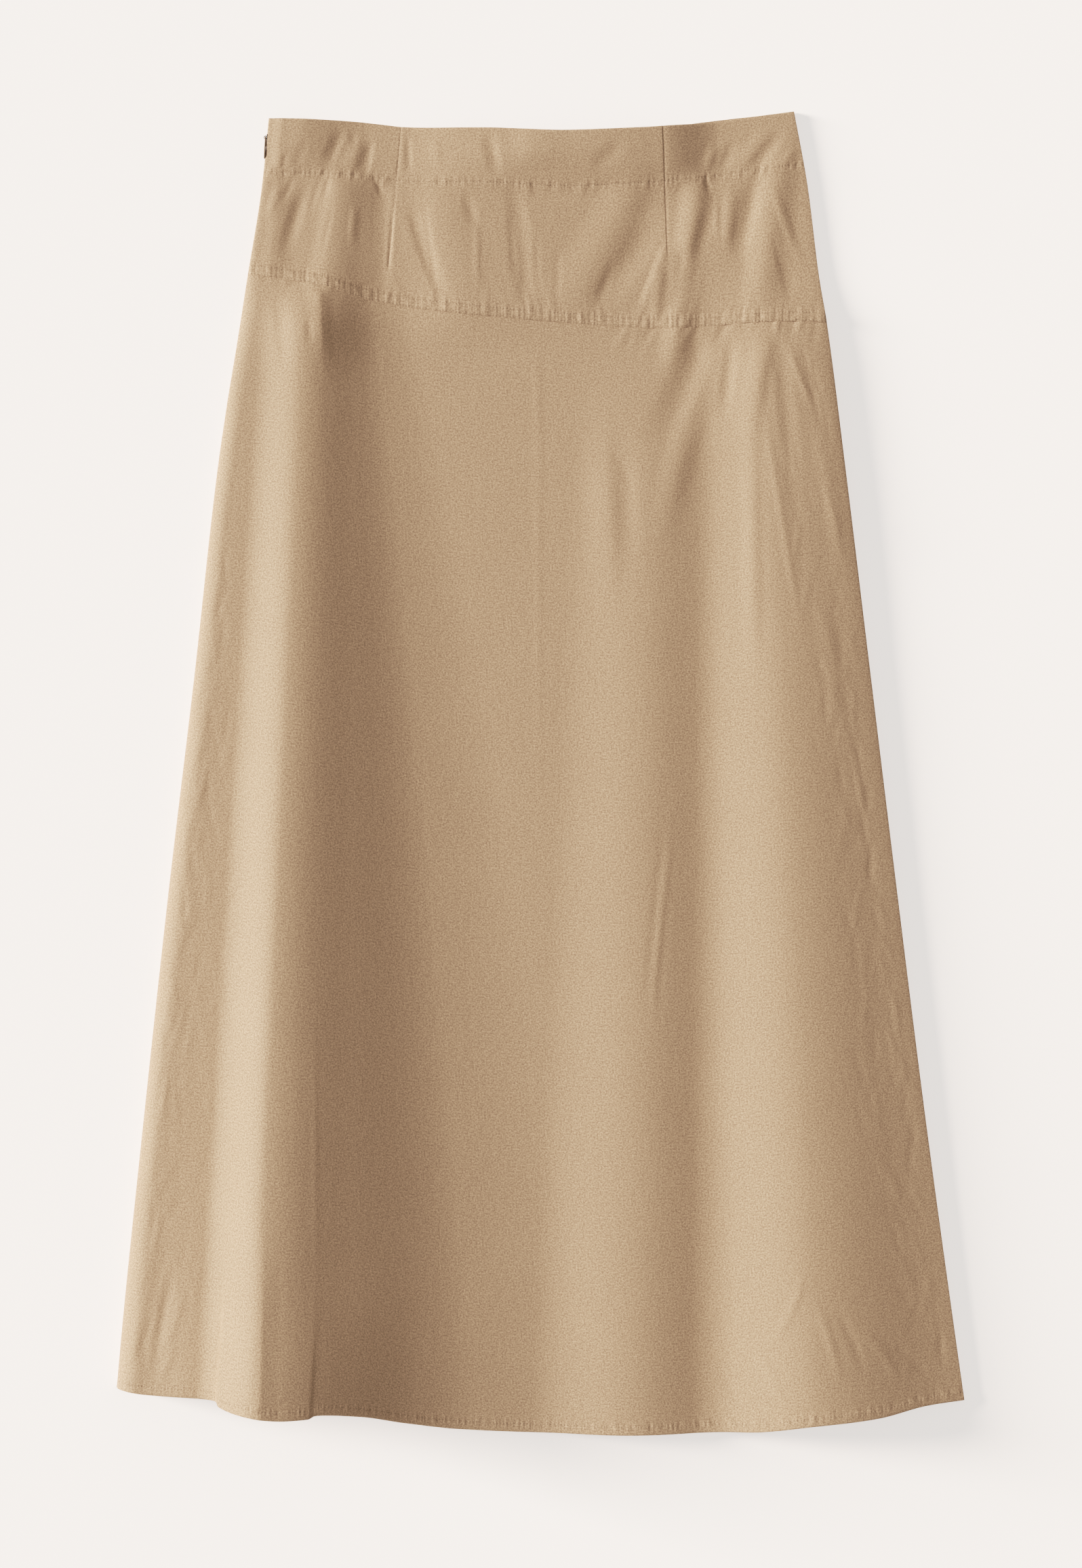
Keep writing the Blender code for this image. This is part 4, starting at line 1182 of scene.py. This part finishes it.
def herringbone(name):
    """The tape's polyester weave, whose fine twill turns back at every rib."""
    finish, start = plain_finish(name, TAPE_BROWN, TAPE_SHADE, 2500.0, 0.7, 0.0002)
    across, along = start.map("cloth").parts()
    turned = start.math("PINGPONG", across, HERRINGBONE)
    twill = start.math("SINE", (along + turned) * (2 * math.pi / (0.5 * HERRINGBONE)))
    start.shade({"Normal": (twill * 0.5 + 0.5).bump(0.6, 0.0003)})
    return finish


def box(size, middle):
    """A box by its sizes and its middle, in millimetres, left in edit mode to be shaped."""
    bpy.ops.object.select_all(action="DESELECT")
    bpy.ops.mesh.primitive_cube_add(size=1.0, location=(0, 0, 0))
    bpy.ops.object.mode_set(mode="EDIT")
    scale(*size)
    bpy.ops.transform.translate(value=middle)
    return bpy.context.object


def scale(x, y, z, middle=(0, 0, 0)):
    bpy.ops.transform.resize(value=(x, y, z), center_override=middle)


def extrude(x, y, z):
    bpy.ops.mesh.extrude_region_move(TRANSFORM_OT_translate={"value": (x, y, z)})


def pick(wanted, kind="faces"):
    """Select the faces or edges, of the mesh in edit mode, that pass a test."""
    bpy.ops.mesh.select_mode(type="FACE" if kind == "faces" else "EDGE")
    bpy.ops.mesh.select_all(action="DESELECT")
    mesh = bpy.context.object.data
    for part in getattr(bmesh.from_edit_mesh(mesh), kind):
        part.select_set(bool(wanted(part)))
    bmesh.update_edit_mesh(mesh)


def pick_facing(axis, sign):
    """Select the faces that look one way along an axis."""
    pick(lambda face: sign * face.normal[axis] > 0.9)


def apply(model, kind, **settings):
    """Give a model one modifier and apply it."""
    bpy.ops.object.mode_set(mode="OBJECT")
    modifier = model.modifiers.new(kind.lower(), kind)
    for name, value in settings.items():
        setattr(modifier, name, value)
    bpy.context.view_layer.objects.active = model
    bpy.ops.object.modifier_apply(modifier=modifier.name)


tape_down = np.linspace(TAPE_TOP, ZIP_END, 189)[:, None]
tape_across = side("left", tape_down) + CHAIN_INSET + TOOTH_DEEP - TAPE_SUNK
tape_points = metres(tape_across, tape_down, np.linspace(TAPE_LOW, TAPE_HIGH, 7))
tape_wall = TAPE_THICKNESS * MM + np.zeros(tape_points.shape[:2])
tape_maps = {"cloth": cloth_map(tape_points)}
tape = cloth_shell("zip_tape", tape_points, tape_wall, tape_maps, herringbone("zip_tape_weave"))
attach(tape, "skirt")
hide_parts("zip_chain")

one_tooth = box((TOOTH_DEEP, TOOTH_LONG, TOOTH_WIDE), (0, 0, TOOTH_SET))
pick_facing(2, -1)
scale(1, TOOTH_HEAD, 1)
apply(one_tooth, "BEVEL", width=TOOTH_ROUND, segments=1)
tooth_down = np.arange(CHAIN_TOP + 1.0, ZIP_END - 1.0, 0.5 * TOOTH_PITCH)
tooth_across = side("left", tooth_down) + CHAIN_INSET + 0.5 * TOOTH_DEEP
lean = np.arctan2(side("left", tooth_down + 1.0) - side("left", tooth_down - 1.0), 2.0)
turn = np.where(np.arange(len(tooth_down)) % 2, 1.0, -1.0)  # teeth of the two rows, by turns
outward = np.stack([np.cos(lean), np.sin(lean), 0 * lean], axis=1)
upward = np.stack([-np.sin(lean) * turn, np.cos(lean) * turn, 0 * lean], axis=1)
teeth = repeat(
    "zip_teeth",
    take_shape(one_tooth),
    metres(tooth_across, tooth_down, 0.5 * (TAPE_LOW + TAPE_HIGH)),
    np.stack([outward, upward, np.outer(turn, (0, 0, 1))], axis=1),
    plain_finish("zip_teeth_nylon", NYLON_BROWN, NYLON_SHADE, 900.0, 0.45, 0.00008)[0],
)
teeth.data.set_sharp_from_angle(angle=math.radians(30))
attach(teeth, "skirt")

# The slider, with its face plate, neck and bail cast in one and lacquered, and the pull tab that turns on the
# bail. They are modelled round the tab's axis, with -x out of the seam and -y down along it.
PIVOT_DOWN, PIVOT_OUT, PIVOT_HEIGHT = 18.0, 1.05, 3.65
SLIDER_TILT, SLIDER_ROUND = math.radians(-6), 0.09
PLATE_FACE, PLATE_THICKNESS, PLATE_TOP, PLATE_FOOT = 0.75, 0.6, 2.0, 6.0
PLATE_HALF, PLATE_FOOT_SHARE, PLATE_NOSE_SHARE = 1.1, 0.8, 0.6
FLANGE, FLANGE_DEEP, FLANGE_SHARE = 0.3, 0.6, 0.6
NECK_SIZE, NECK_MIDDLE = (2.0, 3.4, 0.26), (2.05, -2.0, -0.05)
BAIL_MIDDLE, BAIL_HALF, BAIL_WIDENED = 0.95, 0.19, 2.8
TAB_HALF_THICKNESS, TAB_LEAN, TAB_ROUND = 0.34, math.radians(3.5), 0.07
TabRow = namedtuple("TabRow", "below half_width")
TAB_ROWS = [
    TabRow(3.2, 1.6),
    TabRow(6.5, 1.8),
    TabRow(10.0, 2.1),
    TabRow(12.0, 2.15),
    TabRow(13.5, 1.75),
    TabRow(14.3, 1.15),
    TabRow(14.6, 0.6),
]
TAB_TOP, TAB_FIRST, TAB_NECK_HALF, TAB_TOP_SHARE = 0.4, 0.2, 1.6, 0.7
TAB_RIM, TAB_SUNK, SUNK_TOP, SUNK_FOOT = 0.42, 0.12, 3.4, 13.4
SLOT_TOP, SLOT_FOOT, SLOT_HALF, SLOT_ROUND = 0.4, 2.3, 1.0, 0.35
LACQUER, LACQUER_SHADE = (0.36, 0.25, 0.17), (0.28, 0.19, 0.125)
# The first is a dark brown painted as shade on the slider's upper part, above the second place down.
SLIDER_SHADE_BROWN, SHADE_ABOVE = (0.10, 0.075, 0.055), PIVOT_DOWN + 2.0
SMOOTH_BELOW = math.radians(35)


def lacquer(name, shade_above=None):
    """Brown lacquer on zinc alloy, with a dark brown painted as shade above a place down, if one is given."""
    finish, colour = plain_finish(name, LACQUER, LACQUER_SHADE, 700.0, 0.4, 0.00005, 0.3)
    if shade_above is not None:
        # Painted shade: above that place the slider's plate, neck and bail turn dark brown, standing in for
        # the shade there.
        up = colour.node("TexCoord", {}, 3).parts()[1]
        past = (up - (LENGTH / 2 - shade_above) * MM) * (1.0 / MM)
        painted_shade = colour.math("MINIMUM", colour.math("MAXIMUM", past, 0.0), 1.0)
        colour.shade({"Base Color": colour.mix(painted_shade, colour, SLIDER_SHADE_BROWN)})
    return finish


def hang(model, name, round_edges, lean, finish):
    """Round a model's edges, and move its mesh from the axis's own frame to its place on the skirt."""
    apply(model, "BEVEL", width=round_edges, segments=2, angle_limit=SMOOTH_BELOW)
    bpy.ops.object.select_all(action="DESELECT")
    model.select_set(True)
    bpy.ops.object.mode_set(mode="EDIT")
    bpy.ops.mesh.select_all(action="SELECT")
    bpy.ops.mesh.normals_make_consistent(inside=False)
    bpy.ops.object.mode_set(mode="OBJECT")
    place = Matrix.Translation(metres(side("left", PIVOT_DOWN) - PIVOT_OUT, PIVOT_DOWN, PIVOT_HEIGHT))
    model.data.transform(place @ Matrix.Rotation(SLIDER_TILT + lean, 4, "Z") @ Matrix.Scale(MM, 4))
    bpy.ops.object.shade_smooth_by_angle(angle=SMOOTH_BELOW)
    model.name = model.data.name = name
    model.data.materials.clear()
    model.data.materials.append(finish)
    return model


plate_length = PLATE_TOP + PLATE_FOOT
plate_middle = (PLATE_FACE + 0.5 * PLATE_THICKNESS, PLATE_TOP - 0.5 * plate_length, 0)
slider = box((PLATE_THICKNESS, plate_length, 2 * PLATE_HALF), plate_middle)
pick_facing(1, -1)
scale(1, 1, PLATE_FOOT_SHARE)
pick_facing(1, 1)
extrude(0, -0.01, 0)
scale(1, 1, PLATE_NOSE_SHARE)
bpy.ops.transform.translate(value=(0, FLANGE, 0))
pick_facing(0, 1)
bpy.ops.mesh.inset(thickness=FLANGE, depth=0.0)
pick(lambda face: face.normal.x > 0.9 and abs(face.calc_center_median().z) > FLANGE_SHARE * PLATE_HALF)
extrude(FLANGE_DEEP, 0, 0)
bpy.ops.object.mode_set(mode="OBJECT")
neck = box(NECK_SIZE, NECK_MIDDLE)
bpy.ops.object.mode_set(mode="OBJECT")
bpy.ops.object.select_all(action="DESELECT")
ring = {"major_radius": BAIL_MIDDLE, "minor_radius": BAIL_HALF}
bpy.ops.mesh.primitive_torus_add(**ring, major_segments=28, minor_segments=10, location=(0, 0, 0))
bail = bpy.context.object
bpy.ops.object.mode_set(mode="EDIT")
scale(1, 1, BAIL_WIDENED)
bpy.ops.object.mode_set(mode="OBJECT")
for part in (slider, neck, bail):
    part.select_set(True)
bpy.context.view_layer.objects.active = slider
bpy.ops.object.join()
slider = hang(slider, "zip_slider_metal", SLIDER_ROUND, 0.0, lacquer("zip_slider_lacquer", SHADE_ABOVE))
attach(slider, "skirt")
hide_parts("zip_slider")

tab_box = (2 * TAB_HALF_THICKNESS, TAB_TOP + TAB_FIRST, 2 * TAB_NECK_HALF)
tab = box(tab_box, (0, 0.5 * (TAB_TOP - TAB_FIRST), 0))
pick_facing(1, 1)
scale(1, 1, TAB_TOP_SHARE)
below, half_width = TAB_FIRST, TAB_NECK_HALF
for row in TAB_ROWS:
    pick_facing(1, -1)
    extrude(0, below - row.below, 0)
    scale(1, 1, row.half_width / half_width, (0, -row.below, 0))
    below, half_width = row.below, row.half_width
pick(lambda face: abs(face.normal.x) > 0.9 and SUNK_TOP < -face.calc_center_median().y < SUNK_FOOT)
bpy.ops.mesh.inset(thickness=TAB_RIM, depth=0.0)
bpy.ops.mesh.inset(thickness=0.5 * TAB_SUNK, depth=-TAB_SUNK)
bpy.ops.object.mode_set(mode="OBJECT")
slot_box = (4 * TAB_HALF_THICKNESS, SLOT_FOOT - SLOT_TOP, 2 * SLOT_HALF)
slot = box(slot_box, (0, -0.5 * (SLOT_TOP + SLOT_FOOT), 0))
pick(lambda edge: abs((edge.verts[0].co - edge.verts[1].co).x) > 0.1, "edges")
bpy.ops.mesh.bevel(offset=SLOT_ROUND, segments=3)
apply(tab, "BOOLEAN", object=slot, operation="DIFFERENCE", solver="EXACT")
bpy.data.objects.remove(slot, do_unlink=True)
tab = hang(tab, "zip_pull_metal", TAB_ROUND, TAB_LEAN, lacquer("zip_pull_lacquer"))
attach(tab, "pull")
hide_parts("zip_pull")


# The shot. The skirt lies on a pale floor and is seen from straight above, with its waist at the top. Broad,
# low light comes from image left, and even light from all round fills the shadows. The floor has a lower
# light of its own, which gives the skirt its long soft shadow at image right.
CAMERA_PLACE = (0.0002, -0.0080, 2.4)
LENS, SENSOR = 80.3, 36.0
FLOOR_SIZE = 60.0
FLOOR_PALE, FLOOR_GLOW = (0.55, 0.535, 0.525), (0.675, 0.653, 0.645)
FILL_STRENGTH, FILL_PALE = 0.33, (1.09, 0.98, 0.84)
# Angles are in degrees: turned from image left towards the waist, up from the floor, and across the sun.
Sun = namedtuple("Sun", "name turn rise spread strength pale floor")
SUNS = [
    Sun("key_light", 10, 30, 30, 4.2, (0.965, 1.0, 1.01), "EXCLUDE"),
    Sun("floor_light", 12, 10, 16, 12.4, (1.0, 0.89, 0.80), "INCLUDE"),
]
Tone = namedtuple("Tone", "given shown")
TONES = [
    Tone(0.05, 0.034),
    Tone(0.12, 0.095),
    Tone(0.2, 0.178),
    Tone(0.3, 0.297),
    Tone(0.4, 0.41),
    Tone(0.5, 0.508),
    Tone(0.6, 0.59),
    Tone(0.7, 0.657),
    Tone(0.85, 0.742),
    Tone(1.2, 0.89),
    Tone(1.7, 1.0),
]

scene = bpy.context.scene
camera = bpy.data.objects.new("shot_camera", bpy.data.cameras.new("shot_camera"))
camera.data.lens = LENS
camera.data.sensor_width = SENSOR
camera.data.clip_end = 100.0
camera.location = CAMERA_PLACE
scene.collection.objects.link(camera)
scene.camera = camera



scene.world = bpy.data.worlds.new("studio")
scene.world.use_nodes = True
studio = scene.world.node_tree.nodes["Background"]
studio.inputs["Color"].default_value = (*FILL_PALE, 1.0)
studio.inputs["Strength"].default_value = FILL_STRENGTH
scene.view_settings.view_transform = "Standard"
scene.view_settings.use_curve_mapping = True
tones = scene.view_settings.curve_mapping
tones.clip_max_x = TONES[-1].given
tones.curves[3].points[-1].location = TONES[-1]
for tone in TONES[:-1]:
    tones.curves[3].points.new(*tone)
tones.update()

bpy.ops.object.select_all(action="DESELECT")
bpy.ops.mesh.primitive_plane_add(size=FLOOR_SIZE, location=(0, 0, 0))
floor = bpy.context.object
floor.name = "floor"
paint, start = new_finish("pale_floor")
start.shade(
    {
        "Base Color": (*FLOOR_PALE, 1.0),
        "Emission Color": (*FLOOR_GLOW, 1.0),
        "Emission Strength": 1.0,
        "Roughness": 0.9,
        "Specular IOR Level": 0.1,
    }
)
floor.data.materials.append(paint)

for sun in SUNS:
    lamp = bpy.data.objects.new(sun.name, bpy.data.lights.new(sun.name, "SUN"))
    lamp.data.energy, lamp.data.angle, lamp.data.color = sun.strength, math.radians(sun.spread), sun.pale
    turn, rise = math.radians(sun.turn), math.radians(sun.rise)
    flat = math.cos(rise)
    to_light = Vector((-flat * math.cos(turn), flat * math.sin(turn), math.sin(rise)))
    lamp.rotation_mode = "QUATERNION"
    lamp.rotation_quaternion = to_light.to_track_quat("Z", "Y")
    scene.collection.objects.link(lamp)
    lit = bpy.data.collections.new(sun.name + "_on_floor")
    lit.objects.link(floor)
    lit.collection_objects[0].light_linking.link_state = sun.floor
    lamp.light_linking.receiver_collection = lit
